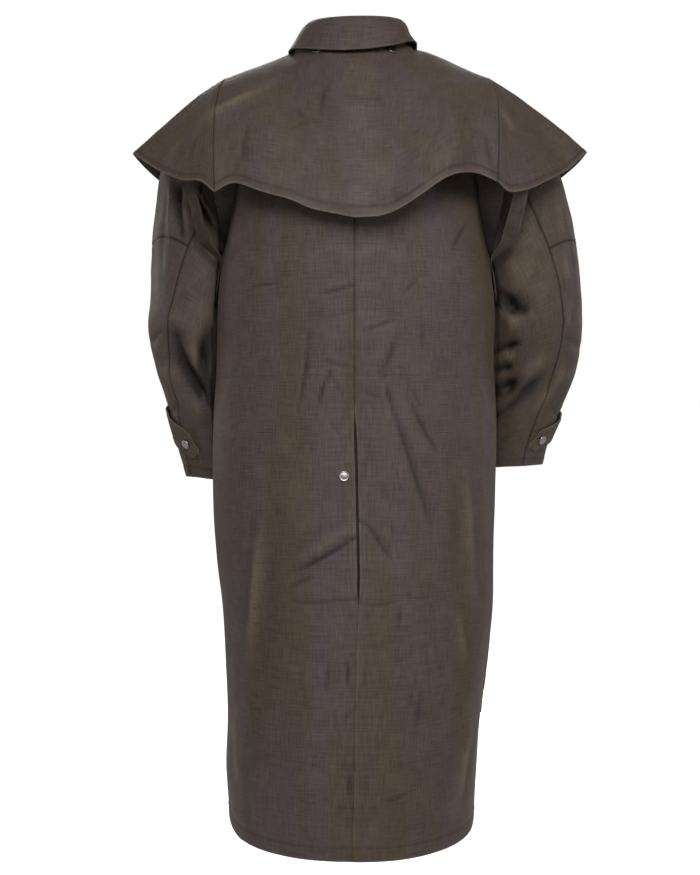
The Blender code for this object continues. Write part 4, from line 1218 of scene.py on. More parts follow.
    def direction(self, turn: Array, s: Array) -> Array:
        """Which way the sleeve's cloth faces."""
        own = normals_of(self.surface, turn, np.clip(s, 0.001, 0.999))
        middle = self.surface(turn, s) + self.surface(turn + math.pi, s)
        outward = self.surface(turn, s) - middle / 2
        own *= np.sign(np.sum(own * outward, axis=1))[:, None]
        shared = ease(s, 0.6 / len(self.rings), 0.0)[:, None]
        return unit(own * (1 - shared) + self.armhole_direction(np.mod(turn, 2 * math.pi)) * shared)

    def seam_turn(self, s: Array, back: bool) -> Array:
        """Where a long seam runs, as a turn round the sleeve."""
        if not back:
            return math.pi + math.radians(self.front_seam) + 0 * s
        rows = np.array(self.back_seam, float)
        return math.pi - np.radians(smooth_values(rows[:, 0], rows[:, 1:], s)[:, 0])

    def lay(self, turn: Array, s: Array) -> Lay:
        """How the sleeve's cloth lies."""
        spots, facing = self.surface(turn, s), self.direction(turn, s)
        side = float(self.side)
        looks = {Outlook.BEHIND: (spots[:, 0], ease(facing[:, 1], -0.15, 0.30)),
                 Outlook.BEFORE: (spots[:, 0], ease(-facing[:, 1], 0.0, 0.40)),
                 Outlook.BESIDE: (spots[:, 1], ease(side * facing[:, 0], 0.25, 0.75))}
        drawn, lines = np.zeros(len(s)), np.zeros(len(s))
        for outlook, (across, seen) in looks.items():
            whole, narrow = relief(SLEEVE_FOLDS[self.side][outlook], across, spots[:, 2], 16.5)
            drawn += 1.25 * whole * seen
            lines += narrow * seen
        free = ease(self.body.reach_of(spots), 1.04, 1.12) * ease(s, 0.02, 0.10)
        loose = drawn * free + 0.0022 * ripple(spots, 0.060, 1.6, 4.4 + side) * free
        loose += 0.0008 * ripple(spots, 0.026, 1.2, 9.9 + side) * free
        seams = [np.abs(turn - self.seam_turn(s, back)) for back in (True, False)]
        at_seam = seam_line(np.minimum(*seams) * self.radius, 0.007)
        loose += 0.0006 * at_seam * ripple(spots, 0.012, 1.0, 2.2) * free
        from_hem = (1 - s) * self.length - self.hem
        proud = DOUBLED * ease(from_hem, STEP, -STEP)
        # Narrow creases: scuffing with a painted highlight on ridges, painted shade in troughs. Scuffing at
        # the cuff's edge, painted shade along its stitch row, and painted shade in the armpit on the inner
        # side near the armhole.
        rubbed_and_painted_light = rubbing(np.minimum(lines, 0.0025), np.where(lines > 0, 0.0038, 0.0050))
        rubbed_and_painted_light += 0.5 * ease(s, 0.992, 1.0) - 0.4 * seam_line(from_hem)
        rubbed_and_painted_light -= 0.95 * ease(np.cos(turn), 0.35, 0.75) * ease(s, 0.46, 0.34)
        # Painted highlight down the sleeve's outer line.
        outer_line = seam_line(turn - math.pi, 0.16) * ease(s, 0.1, 0.3)
        return Lay(spots + facing * loose[:, None], facing, proud, rubbed_and_painted_light + 0.3 * outer_line)

    def grid(self, part: str) -> Spread:
        """One of the sleeve's pieces, upper, lower or under, from its own flat grid."""
        gap, end_gap = SEAM_GAP / 2 / 0.07, SEAM_GAP / 2 / 0.65
        low, high = {"upper": (0.0016, self.cross_seam - end_gap),
                     "lower": (self.cross_seam + end_gap, 1.0), "under": (0.0016, 1.0)}[part]

        def at(u: Array, v: Array) -> Lay:
            """The piece at shares u from seam to seam and v down the arm."""
            s = low + (high - low) * v
            back_seam, front_seam = self.seam_turn(s, True), self.seam_turn(s, False)
            if part == "under":
                start, stop = front_seam + gap, back_seam + 2 * math.pi - gap
            else:
                start, stop = back_seam + gap, front_seam - gap
            turn = start + (stop - start) * u
            found = self.lay(turn, s)
            edge = np.minimum(u, 1 - u) * np.abs(stop - start) * self.radius
            if part != "under":
                edge = np.minimum(edge, np.abs(s - self.cross_seam) * self.length)
            sunk = 0.0009 * ease(edge, 0.0030, 0.0)
            ridge = 0.0005 * seam_line(edge - self.ridge, 0.0022)
            found.spots = found.spots + found.facing * (ridge - sunk)[:, None]
            # Painted shade along the seams' edges.
            found.wear = found.wear - 0.9 * ease(edge, 0.0024, 0.0)
            return found
        return at

    def tab_middle(self, v: Array | float) -> Array | float:
        """The share of the sleeve's length at which the middle of the tab lies."""
        return 0.835 + 0.085 * v

    def tab_grid(self, u: Array, v: Array) -> Lay:
        """The cuff tab: from the outer front of the cuff it slants down to a point at the back."""
        turn = math.pi + np.radians(self.tab_start - self.tab_sweep * v)
        point = 1 - 0.75 * ease(v, 0.86, 1.0)
        s = self.tab_middle(v) + (u - 0.5) * self.tab_width * point
        held = np.clip(v / self.tab_snap_at, 0.0, 1.0)
        raised = self.tab_seat + self.tab_bow * np.sin(math.pi * held) * (1 - 0.6 * u) + CLOTH
        below = self.lay(turn, s)
        width, length = self.tab_cut
        rim = np.minimum(np.minimum(u, 1 - u) * width, np.minimum(v, 1 - v) * length)
        return Lay(below.spots + below.facing * raised[:, None], below.facing,
                   0.0003 * ease(rim, RIM_ROW + 0.0004, RIM_ROW - 0.0004), 0.35 + 0.4 * ease(rim, 0.003, 0.0))

    def build(self, finish: Finishes) -> dict[str, Piece]:
        """Makes and dresses the sleeve's pieces.

        Args:
            finish: Materials by slot.

        Returns:
            The pieces by name.
        """
        made = {}
        shares = {"upper": (0.46, self.cross_seam), "lower": (0.40, 1 - self.cross_seam),
                  "under": (0.60, 1.0)}
        for part, (width, length) in shares.items():
            name = f"sleeve_{self.side.label}_{part}"
            cut = (round(width * self.around, 3), round(length * self.length, 3))
            marks = (cut[1] - self.hem,) if part != "upper" else ()
            across = ticks(cut[0], self.cell, (0.002, self.ridge, cut[0] - self.ridge, cut[0] - 0.002))
            if part != "under":
                marks = (*marks, 0.003) if part == "lower" else (cut[1] - 0.003,)
            piece = make_wall(f"{name}_cloth", self.grid(part), across, ticks(cut[1], self.cell, marks),
                              CLOTH, cut)
            dress(piece, finish["oilskin_sleeve"], "oilskin_sleeve", name)
            made[name] = piece
        name = f"cuff_tab_{self.side.label}"
        marks = (RIM_ROW, self.tab_cut[0] - RIM_ROW)
        tab = make_wall(f"{name}_cloth", self.tab_grid, ticks(self.tab_cut[0], 0.0024, marks),
                        ticks(self.tab_cut[1], 0.0026), CLOTH, self.tab_cut)
        dress(tab, finish["oilskin_trim"], "oilskin_trim", name)
        made[name] = tab
        return made


LEFT_SLEEVE_RINGS = (
    ((0.252, 0.000, -0.058), (0.222, -0.004, -0.329), 0.040, 0.052),
    ((0.287, 0.000, -0.100), (0.222, -0.045, -0.350), 0.066, 0.072),
    ((0.309, 0.000, -0.165), (0.215, -0.066, -0.378), 0.082, 0.084),
    ((0.317, -0.002, -0.235), (0.212, -0.072, -0.402), 0.088, 0.088),
    ((0.323, -0.006, -0.310), (0.214, -0.070, -0.430), 0.090, 0.086),
    ((0.331, -0.012, -0.380), (0.216, -0.070, -0.465), 0.090, 0.082),
    ((0.338, -0.022, -0.432), (0.214, -0.078, -0.500), 0.088, 0.078),
    ((0.330, -0.036, -0.490), (0.208, -0.090, -0.540), 0.083, 0.072),
    ((0.313, -0.056, -0.553), (0.204, -0.102, -0.588), 0.074, 0.064),
    ((0.300, -0.082, -0.625), (0.190, -0.122, -0.643), 0.063, 0.057),
    ((0.289, -0.102, -0.679), (0.177, -0.136, -0.691), 0.056, 0.052),
)
RIGHT_SLEEVE_RINGS = (
    ((-0.266, 0.000, -0.058), (-0.228, -0.004, -0.329), 0.040, 0.052),
    ((-0.303, 0.000, -0.105), (-0.228, -0.045, -0.350), 0.064, 0.070),
    ((-0.333, 0.000, -0.170), (-0.221, -0.066, -0.378), 0.076, 0.078),
    ((-0.353, -0.002, -0.240), (-0.218, -0.072, -0.402), 0.080, 0.080),
    ((-0.368, -0.006, -0.315), (-0.220, -0.070, -0.432), 0.080, 0.078),
    ((-0.376, -0.012, -0.385), (-0.224, -0.066, -0.465), 0.078, 0.074),
    ((-0.377, -0.022, -0.440), (-0.222, -0.076, -0.502), 0.076, 0.070),
    ((-0.370, -0.036, -0.505), (-0.219, -0.088, -0.543), 0.072, 0.066),
    ((-0.350, -0.054, -0.560), (-0.216, -0.098, -0.582), 0.067, 0.061),
    ((-0.332, -0.074, -0.618), (-0.211, -0.110, -0.628), 0.060, 0.056),
    ((-0.324, -0.090, -0.658), (-0.208, -0.118, -0.665), 0.056, 0.053),
)
BACK_SEAM_TURN = {
    Side.LEFT: ((0.0, 80), (0.28, 58), (0.36, 56), (0.45, 44), (0.55, 38), (0.64, 38), (0.73, 34),
                (0.82, 25), (1.0, 22)),
    Side.RIGHT: ((0.0, 80), (0.36, 51), (0.45, 45), (0.55, 43), (0.64, 43), (0.73, 50), (0.82, 52),
                 (1.0, 60)),
}

CAPE_BACK_HEM = {
    Side.LEFT: ((0.000, 0.197, -0.285), (0.030, 0.195, -0.279), (0.066, 0.190, -0.270),
                (0.097, 0.185, -0.256), (0.138, 0.176, -0.243), (0.182, 0.156, -0.226),
                (0.213, 0.155, -0.239)),
    Side.RIGHT: ((0.000, 0.197, -0.285), (-0.037, 0.198, -0.283), (-0.064, 0.200, -0.274),
                 (-0.095, 0.204, -0.255), (-0.140, 0.196, -0.224), (-0.180, 0.170, -0.213),
                 (-0.217, 0.162, -0.225)),
}
CAPE_SIDE_HEM = {
    Side.LEFT: ((0.213, 0.155, -0.239), (0.237, 0.140, -0.219), (0.263, 0.120, -0.214),
                (0.294, 0.090, -0.198), (0.335, 0.045, -0.170), (0.364, 0.000, -0.145),
                (0.358, -0.040, -0.152), (0.335, -0.095, -0.170), (0.295, -0.140, -0.197),
                (0.250, -0.165, -0.222), (0.207, -0.175, -0.236)),
    Side.RIGHT: ((-0.217, 0.162, -0.225), (-0.236, 0.134, -0.234), (-0.270, 0.110, -0.226),
                 (-0.307, 0.080, -0.205), (-0.351, 0.032, -0.175), (-0.383, 0.000, -0.143),
                 (-0.378, -0.040, -0.150), (-0.352, -0.095, -0.169), (-0.310, -0.140, -0.196),
                 (-0.262, -0.165, -0.222), (-0.214, -0.175, -0.236)),
}
CAPE_FRONT_HEM = {
    Side.LEFT: ((0.207, -0.175, -0.236), (0.145, -0.186, -0.254), (0.080, -0.184, -0.266),
                (0.008, -0.176, -0.272)),
    Side.RIGHT: ((-0.214, -0.175, -0.236), (-0.150, -0.186, -0.254), (-0.080, -0.184, -0.266),
                 (-0.008, -0.176, -0.272)),
}
CAPE_FOLDS = (
    Fold(((112, -40), (172, -76), (222, -104), (243, -136), (246, -170)), 9, 2.6, (0.1, 0.1)),
    Fold(((108, -60), (160, -96), (206, -122), (226, -160)), 12, -1.8),
    Fold(((-222, -84), (-242, -108), (-258, -140)), 8, 2.4, (0.2, 0)),
    Fold(((38, -62), (46, -80), (52, -104), (48, -130)), 7, -1.6, (0.5, 0)),
    Fold(((-110, -52), (-122, -80), (-130, -119), (-112, -172), (-88, -214)), 10, -2.2, (0.3, 0)),
    Fold(((-88, -58), (-96, -100), (-90, -150)), 16, 1.6),
    Fold(((-148, -90), (-160, -150), (-150, -205)), 16, 2, (0, 0.6)),
    Fold(((20, -82), (-20, -94), (-66, -84)), 6, -1.2),
    Fold(((40, -102), (6, -110), (-34, -106)), 8, 0.8),
    Fold(((157, -112), (170, -160), (165, -205)), 7, -1.4),
    Fold(((120, -104), (128, -150), (118, -200)), 16, 1.3),
    Fold(((107, -149), (84, -134), (60, -130), (46, -137)), 5, -1.2),
    Fold(((98, -96), (84, -112), (76, -136)), 6, -1),
    Fold(((74, -150), (92, -180), (90, -220)), 10, -1),
    Fold(((296, -200), (272, -214), (246, -222)), 5, -1.5, (0.2, 0.3)),
    Fold(((226, -108), (246, -146), (254, -192)), 6, -1.6),
    Fold(((270, -130), (290, -165), (300, -195)), 9, 1.3),
    Fold(((-12, -140), (-22, -190), (-10, -250)), 18, 1.2),
    Fold(((-46, -230), (-60, -250), (-66, -272)), 7, -1),
    Fold(((-272, -120), (-300, -160), (-316, -196)), 10, 1.4, (0, 0.4)),
    Fold(((-204, -140), (-206, -180), (-214, -222)), 9, -1.6, (0, 0.5)),
)


@dataclass(frozen=True)
class Cape:
    """The shoulder cape: centre back, shoulder pieces, fronts, and the straps under the arms.

    Attributes:
        neck: The coat's neck seam.
        body: The coat's body under it.
        tips: How far out each shoulder's ridge ends.
        tip_z: Its height.
        point: Half thickness of the ridge's rounded end.
        neck_out: How far outside the neckline the cape starts.
        neck_up: How far above it.
        hem: Height of its narrow hem.
        drop: Length from neck to hem.
        half_back: Width of half the centre back, or of a front, where it is measured for its seam.
        panel_gap: Share of a panel's width that is left open at a seam.
        side_gap: The same for a shoulder piece.
        side_top: Share of a shoulder piece's length that is left off at its point.
        front_open: Share of a front's width by which it stays off the centre.
        cell: Size of the wall's cells.
        middle: A place inside the chest, which the cloth faces away from.
        back_cut: Flat width and length of the centre back.
        side_cut: Of a shoulder piece.
        front_cut: Of a front.
    """

    neck: Neckline = Neckline()
    body: Body = Body()
    tips: tuple[float, float] = (0.205, 0.216)
    tip_z: float = -0.020
    point: float = 0.0015
    neck_out: float = 0.008
    neck_up: float = 0.003
    hem: float = 0.009
    drop: float = 0.26
    half_back: float = 0.24
    panel_gap: float = 0.0005
    side_gap: float = 0.0004
    side_top: float = 0.004
    front_open: float = 0.045
    cell: float = 0.0036
    middle: tuple[float, float, float] = (0.0, 0.0, -0.35)
    back_cut: tuple[float, float] = (0.560, 0.300)
    side_cut: tuple[float, float] = (0.420, 0.235)
    front_cut: tuple[float, float] = (0.250, 0.300)

    def tip_of(self) -> dict[int, float]:
        """The shoulder tips by side."""
        return {1: self.tips[0], -1: self.tips[1]}

    def top_edge(self, q: Array, face: Face) -> Array:
        """The cape's edge round the neck and along the shoulder; its right side stands higher."""
        top = self.neck.shoulder_line(q, face, self.tip_of(), self.tip_z, self.neck_out, self.neck_up)
        share = np.abs(q)
        top[:, 1] += face * self.point * ease(share, self.neck.share, 1.0)
        bulge = ease(share, self.neck.share - 0.10, 0.52) * ease(share, 0.95, 0.55)
        top[:, 2] += np.where(q > 0, -0.002, 0.006) * bulge
        return top

    def panel(self, side: Side, face: Face) -> Surface:
        """Half the centre back, or a front: share c from the centre to the seam, t from neck to hem."""
        back = face is Face.BACK
        hem = np.array(CAPE_BACK_HEM[side] if back else CAPE_FRONT_HEM[side][::-1])
        if not back:
            hem[0, 0] = 0.0
        knots = np.linspace(0, 1, len(hem))

        def at(c: Array, t: Array) -> Array:
            """Points of the panel."""
            share = np.abs(c)
            low = smooth_values(knots, hem, share)
            top = self.top_edge(side * share, face)
            spread = 0.16 * ease(share, 0.0, 0.2) * ease(share, 1.0, 0.8)
            rounded = sum(self.top_edge(side * (share + part * spread), face)
                          for part in (-1.0, -0.5, 0.0, 0.5, 1.0)) / 5
            top += (rounded - top) * ease(t, 0.02, 0.30)[:, None]
            wide = side * share
            if back:
                first = top + points(0.017 * wide, 0.036 + 0.018 * share, -0.031 + 0.014 * share)
            else:
                first = top + points(0.017 * wide, -0.034 - 0.020 * share, -0.040 + 0.023 * share)
            second = low + points(0.009 * wide, -face * (0.019 + 0.006 * share), 0.150 - 0.031 * share)
            result = bent(top, first, second, low, t)
            result[:, 0] *= np.where(c < 0, -1.0, 1.0)
            return result
        return at

    def shoulder(self, side: Side) -> Surface:
        """The shoulder piece: c from the back seam over the arm to the front seam."""
        hem = np.array(CAPE_SIDE_HEM[side])
        steps = np.linalg.norm(np.diff(hem, axis=0), axis=1)
        knots = np.concatenate([[0.0], np.cumsum(steps)]) / steps.sum()

        def at(c: Array, t: Array) -> Array:
            """Points of the shoulder piece."""
            low = smooth_values(knots, hem, c)
            angle = (1 - 2 * c) * math.pi / 2
            over = np.cos(angle)
            top = points(side * (self.tip_of()[side] + self.point * over), self.point * np.sin(angle),
                         self.tip_z + 0 * c)
            first = top + points(side * (0.017 + 0.019 * over), 0.054 * np.sin(angle), -0.017 + 0 * over)
            second = low + points(side * (0.009 - 0.067 * over), -0.025 * np.sin(angle),
                                  0.119 - 0.064 * over)
            return bent(top, first, second, low, t)
        return at

    def facing_out(self, surface: Surface, u: Array, v: Array) -> Array:
        """The direction square to a surface, away from the middle of the chest."""
        own = normals_of(surface, u, v)
        outward = surface(u, v) - np.asarray(self.middle)
        return own * np.sign(np.sum(own * outward, axis=1))[:, None]

    def panel_direction(self, side: Side, face: Face) -> Surface:
        """Which way a back half or a front of the cape faces."""
        surface = self.panel(side, face)

        def at(c: Array, t: Array) -> Array:
            """Directions at each place."""
            own = self.facing_out(surface, c, np.clip(t, 0.01, 1.0))
            near_neck = ease(np.abs(c), self.neck.share - 0.08, self.neck.share)[:, None]
            ridge = ease(t, 0.15, 0.0)[:, None] * near_neck
            level = points(side * SHOULDER_SLOPE + 0 * c, 0 * c, 1 + 0 * c)
            return unit(own * (1 - ridge) + level * ridge)
        return at

    def drape(self, spots: Array, facing: Array, t: Array, run: Array) -> Lay:
        """Creases and edges of the cape, the same on every piece so that its seams stay closed.

        Args:
            spots: Where the plain cloth lies.
            facing: Which way it faces.
            t: Share of the way from neck to hem.
            run: Metres from the nearest seam.

        Returns:
            How the cloth lies.
        """
        free = ease(t, 0.06, 0.35)
        seen = ease(facing[:, 1], 0.02, 0.35)
        before = ease(-facing[:, 1], 0.02, 0.35)
        whole, lines = relief(CAPE_FOLDS, spots[:, 0], spots[:, 2], 9.5)
        front_whole, front_lines = relief(CAPE_FOLDS, 0.02 - spots[:, 0], spots[:, 2] - 0.012, 9.5)
        drawn = (whole * seen + front_whole * before) * free
        lines = (lines * seen + front_lines * before) * free
        drawn += 0.0016 * ripple(spots, 0.060, 1.6, 1.3) * free
        drawn += 0.0006 * ripple(spots, 0.024, 1.2, 7.1) * free
        from_hem = (1 - t) * self.drop - self.hem
        drawn += 0.0007 * seam_line(from_hem, 0.008) * ripple(spots, 0.012, 1.0, 3.3)
        drawn += 0.0005 * seam_line(run, 0.008) * ripple(spots, 0.012, 1.0, 5.9) * free
        groove = 0.0009 * ease(run, 0.0030, 0.0) * free
        proud = DOUBLED * ease(from_hem, STEP, -STEP)
        # Narrow creases: scuffing with a painted highlight on ridges, painted shade in troughs. Scuffing at
        # the hem's edge, a painted highlight along the top over the shoulders, and painted shade along the
        # seams and the hem's stitch row.
        rubbed_and_painted_light = (rubbing(lines, 0.0030) + 0.5 * ease(t, 0.985, 1.0) + 0.25 * ease(t, 0.10, 0.0)
                  - 0.85 * ease(run, 0.0022, 0.0) - 0.45 * seam_line(from_hem))
        return Lay(spots + facing * (drawn - groove)[:, None], facing, proud, rubbed_and_painted_light)

    def back_lay(self, c: Array, t: Array) -> Lay:
        """How the centre back lies: c from its right seam, -1, to its left one, 1."""
        spots, facing = np.empty((len(c), 3)), np.empty((len(c), 3))
        for side in Side:
            mine = c >= 0 if side is Side.LEFT else c < 0
            if mine.any():
                share = np.abs(c[mine])
                spots[mine] = self.panel(side, Face.BACK)(share, t[mine])
                facing[mine] = self.panel_direction(side, Face.BACK)(share, t[mine])
        return self.drape(spots, facing, t, (1 - np.abs(c)) * self.half_back)

    def back_grid(self, u: Array, v: Array) -> Lay:
        """The centre back from its own flat grid."""
        return self.back_lay((2 * u - 1) * (1 - self.panel_gap), 0.001 + 0.999 * v)

    def front_lay(self, side: Side) -> Spread:
        """How a front lies, at c and t."""
        surface, direction = self.panel(side, Face.FRONT), self.panel_direction(side, Face.FRONT)
        return lambda c, t: self.drape(surface(c, t), direction(c, t), t, (1 - c) * self.half_back)

    def front_grid(self, side: Side) -> Spread:
        """A front from its own flat grid."""
        lay = self.front_lay(side)
        wide = 1 - self.panel_gap - self.front_open
        return lambda u, v: lay(self.front_open + wide * u, 0.001 + 0.999 * v)

    def side_plain(self, side: Side) -> Callable[[Array, Array], tuple[Array, Array]]:
        """Points and directions of a shoulder piece before it is creased."""
        surface = self.shoulder(side)
        back, front = self.panel_direction(side, Face.BACK), self.panel_direction(side, Face.FRONT)

        def at(c: Array, t: Array) -> tuple[Array, Array]:
            """Points and directions at each place."""
            own = self.facing_out(surface, c, t)
            near_back, near_front = ease(c, 0.10, 0.0)[:, None], ease(c, 0.90, 1.0)[:, None]
            near_top = ease(t, 0.15, 0.0)[:, None]
            facing = unit(own * (1 - near_back - near_front) + back(1 + 0 * c, t) * near_back
                          + front(1 + 0 * c, t) * near_front)
            level = points(side * SHOULDER_SLOPE + 0 * c, 0 * c, 1 + 0 * c)
            return surface(c, t), unit(facing * (1 - near_top) + level * near_top)
        return at

    def side_grid(self, side: Side) -> Spread:
        """A shoulder piece from its own flat grid."""
        plain = self.side_plain(side)

        def at(u: Array, v: Array) -> Lay:
            """The piece at shares u from seam to seam and v from the neck to the hem."""
            c, t = self.side_gap + (1 - 2 * self.side_gap) * u, self.side_top + (1 - self.side_top) * v
            return self.drape(*plain(c, t), t, np.minimum(c, 1 - c) * self.side_cut[0])
        return at

    def build(self, finish: Finishes) -> dict[str, Piece]:
        """Makes and dresses the cape's pieces.

        Args:
            finish: Materials by slot.

        Returns:
            The pieces by name.
        """
        made = {}
        rows = [("cape_back", self.back_grid, self.back_cut, (0.003, self.back_cut[0] - 0.003))]
        for side in Side:
            rows.append((f"cape_side_{side.label}", self.side_grid(side), self.side_cut,
                         (0.003, self.side_cut[0] - 0.003)))
            rows.append((f"cape_front_{side.label}", self.front_grid(side), self.front_cut,
                         (0.002, self.front_cut[0] - 0.003)))
        for name, grid, cut, marks in rows:
            hem_mark = cut[1] * (1 - self.hem / self.drop)
            piece = make_wall(f"{name}_cloth", grid, ticks(cut[0], self.cell, marks),
                              ticks(cut[1], self.cell, (hem_mark,)), CLOTH, cut)
            dress(piece, finish["oilskin_cape"], "oilskin_cape", name)
            made[name] = piece
        return made


@dataclass(frozen=True)
class Strap:
    """A band of the cape that runs under one arm, sewn inside the cape at both ends.

    Attributes:
        side: Which arm.
        cape: The cape that it is sewn to.
        sewn: Shares across and down the shoulder piece where its two ends are sewn.
        shift: How far it is moved out for the wider shoulder.
        shaded: How much painted shade darkens the whole band, where it lies in the cape's shadow.
        turned: How far its upper part is turned edge-on, from 0 to 1.
        width: Its width.
        row: How far from its edges its pressed lines run.
        clearance: How far it lies off the side of the body.
        under_cape: How far its ends lie inside the cape.
        cut: Its flat width and length.
        route: For the wearer's left: the middle of the band and the direction of its width.
    """

    side: Side
    cape: Cape
    sewn: tuple[tuple[float, float], tuple[float, float]]
    shift: float
    shaded: float = 0.0
    turned: float = 0.0
    width: float = 0.024
    row: float = 0.0042
    clearance: float = 0.0028
    under_cape: float = 0.0019
    cut: tuple[float, float] = (0.024, 0.440)
    route: tuple = (
        ((0.252, 0.098, -0.240), (0.90, -0.30, -0.30)),
        ((0.243, 0.088, -0.280), (0.70, -0.30, -0.55)),
        ((0.234, 0.066, -0.320), (0.55, -0.40, -0.65)),
        ((0.2250, 0.040, -0.355), (0.35, -0.30, -0.85)),
        ((0.2225, 0.000, -0.380), (0.00, 0.00, -1.00)),
        ((0.2160, -0.055, -0.365), (0.05, 0.45, -0.90)),
        ((0.2200, -0.098, -0.310), (0.30, 0.60, -0.70)),
        ((0.2440, -0.124, -0.262), (0.75, 0.50, -0.20)),
    )

    def sewn_row(self, share: float, height: float) -> list[float]:
        """Where an end is sewn, in the frame of the wearer's left."""
        across = np.array([share - 0.01, share, share + 0.01])
        gap, top = self.cape.side_gap, self.cape.side_top
        spots, facing = self.cape.side_plain(self.side)(gap + (1 - 2 * gap) * across,
                                                        top + (1 - top) * (height + 0 * across))
        spots = spots - facing * (CLOTH * 1.5 + self.under_cape)
        spots[:, 0] = self.side * spots[:, 0] - self.shift
        way = unit(spots[2:] - spots[:1])[0] * (1 if spots[2, 0] > spots[0, 0] else -1)
        return [*spots[1], *way]

    def grid(self, u: Array, v: Array) -> Lay:
        """The band from its own flat grid, with a few cross puckers."""
        rows = np.array([self.sewn_row(*self.sewn[0]), *([*middle, *way] for middle, way in self.route),
                         self.sewn_row(*self.sewn[1])])
        knots = np.linspace(0, 1, len(rows))
        read = smooth_values(knots, rows, v)
        ahead = smooth_values(knots, rows, v + 1e-3) - smooth_values(knots, rows, v - 1e-3)
        along, way = unit(ahead[:, :3]), unit(read[:, 3:])
        edge_on = self.turned * ease(v, 0.02, 0.12) * ease(v, 0.42, 0.30)
        way = unit(way + (points(0.3 + 0 * u, -0.95 + 0 * u, 0 * u) - way) * edge_on[:, None])
        square = way - np.sum(way * along, axis=1)[:, None] * along
        way += (unit(square) - way) * (ease(v, 0.0, 0.2) * ease(v, 1.0, 0.8))[:, None]
        facing = unit(np.cross(along, way))
        placed = read[:, :3] + way * ((u - 0.5) * self.width)[:, None]
        placed[:, 0] = self.side * (placed[:, 0] + self.shift)
        wanted = (1 + self.clearance / 0.2) / self.cape.body.reach_of(placed)
        scale = 1 + (wanted - 1) * ease(placed[:, 2], -0.300, -0.335)
        placed *= points(scale, scale, 1 + 0 * scale)
        facing = facing * points(self.side + 0 * u, 1 + 0 * u, 1 + 0 * u)
        puckers = 0.0016 * ripple(placed, 0.016, 1.0, 2.7) * ease(v, 0.0, 0.08) * ease(v, 0.40, 0.25)
        rim = np.minimum(u, 1 - u) * self.width
        # Scuffing along its edges, painted shade along its pressed lines, and shaded as painted shade over
        # the whole band.
        return Lay(placed + facing * (CLOTH / 2 + puckers)[:, None], facing,
                   0.0003 * ease(rim, 0.0045, 0.0040),
                   0.4 * ease(rim, 0.002, 0.0) - 0.3 * seam_line(rim - self.row, 0.0006) - self.shaded)

    def build(self, finish: Finishes) -> Piece:
        """Makes and dresses the band."""
        name = f"arm_strap_{self.side.label}"
        marks = (self.row, self.width - self.row)
        piece = make_wall(f"{name}_cloth", self.grid, ticks(self.width, 0.0022, marks),
                          ticks(self.cut[1], 0.0034), CLOTH, self.cut)
        dress(piece, finish["oilskin_trim"], "oilskin_trim", name)
        return piece


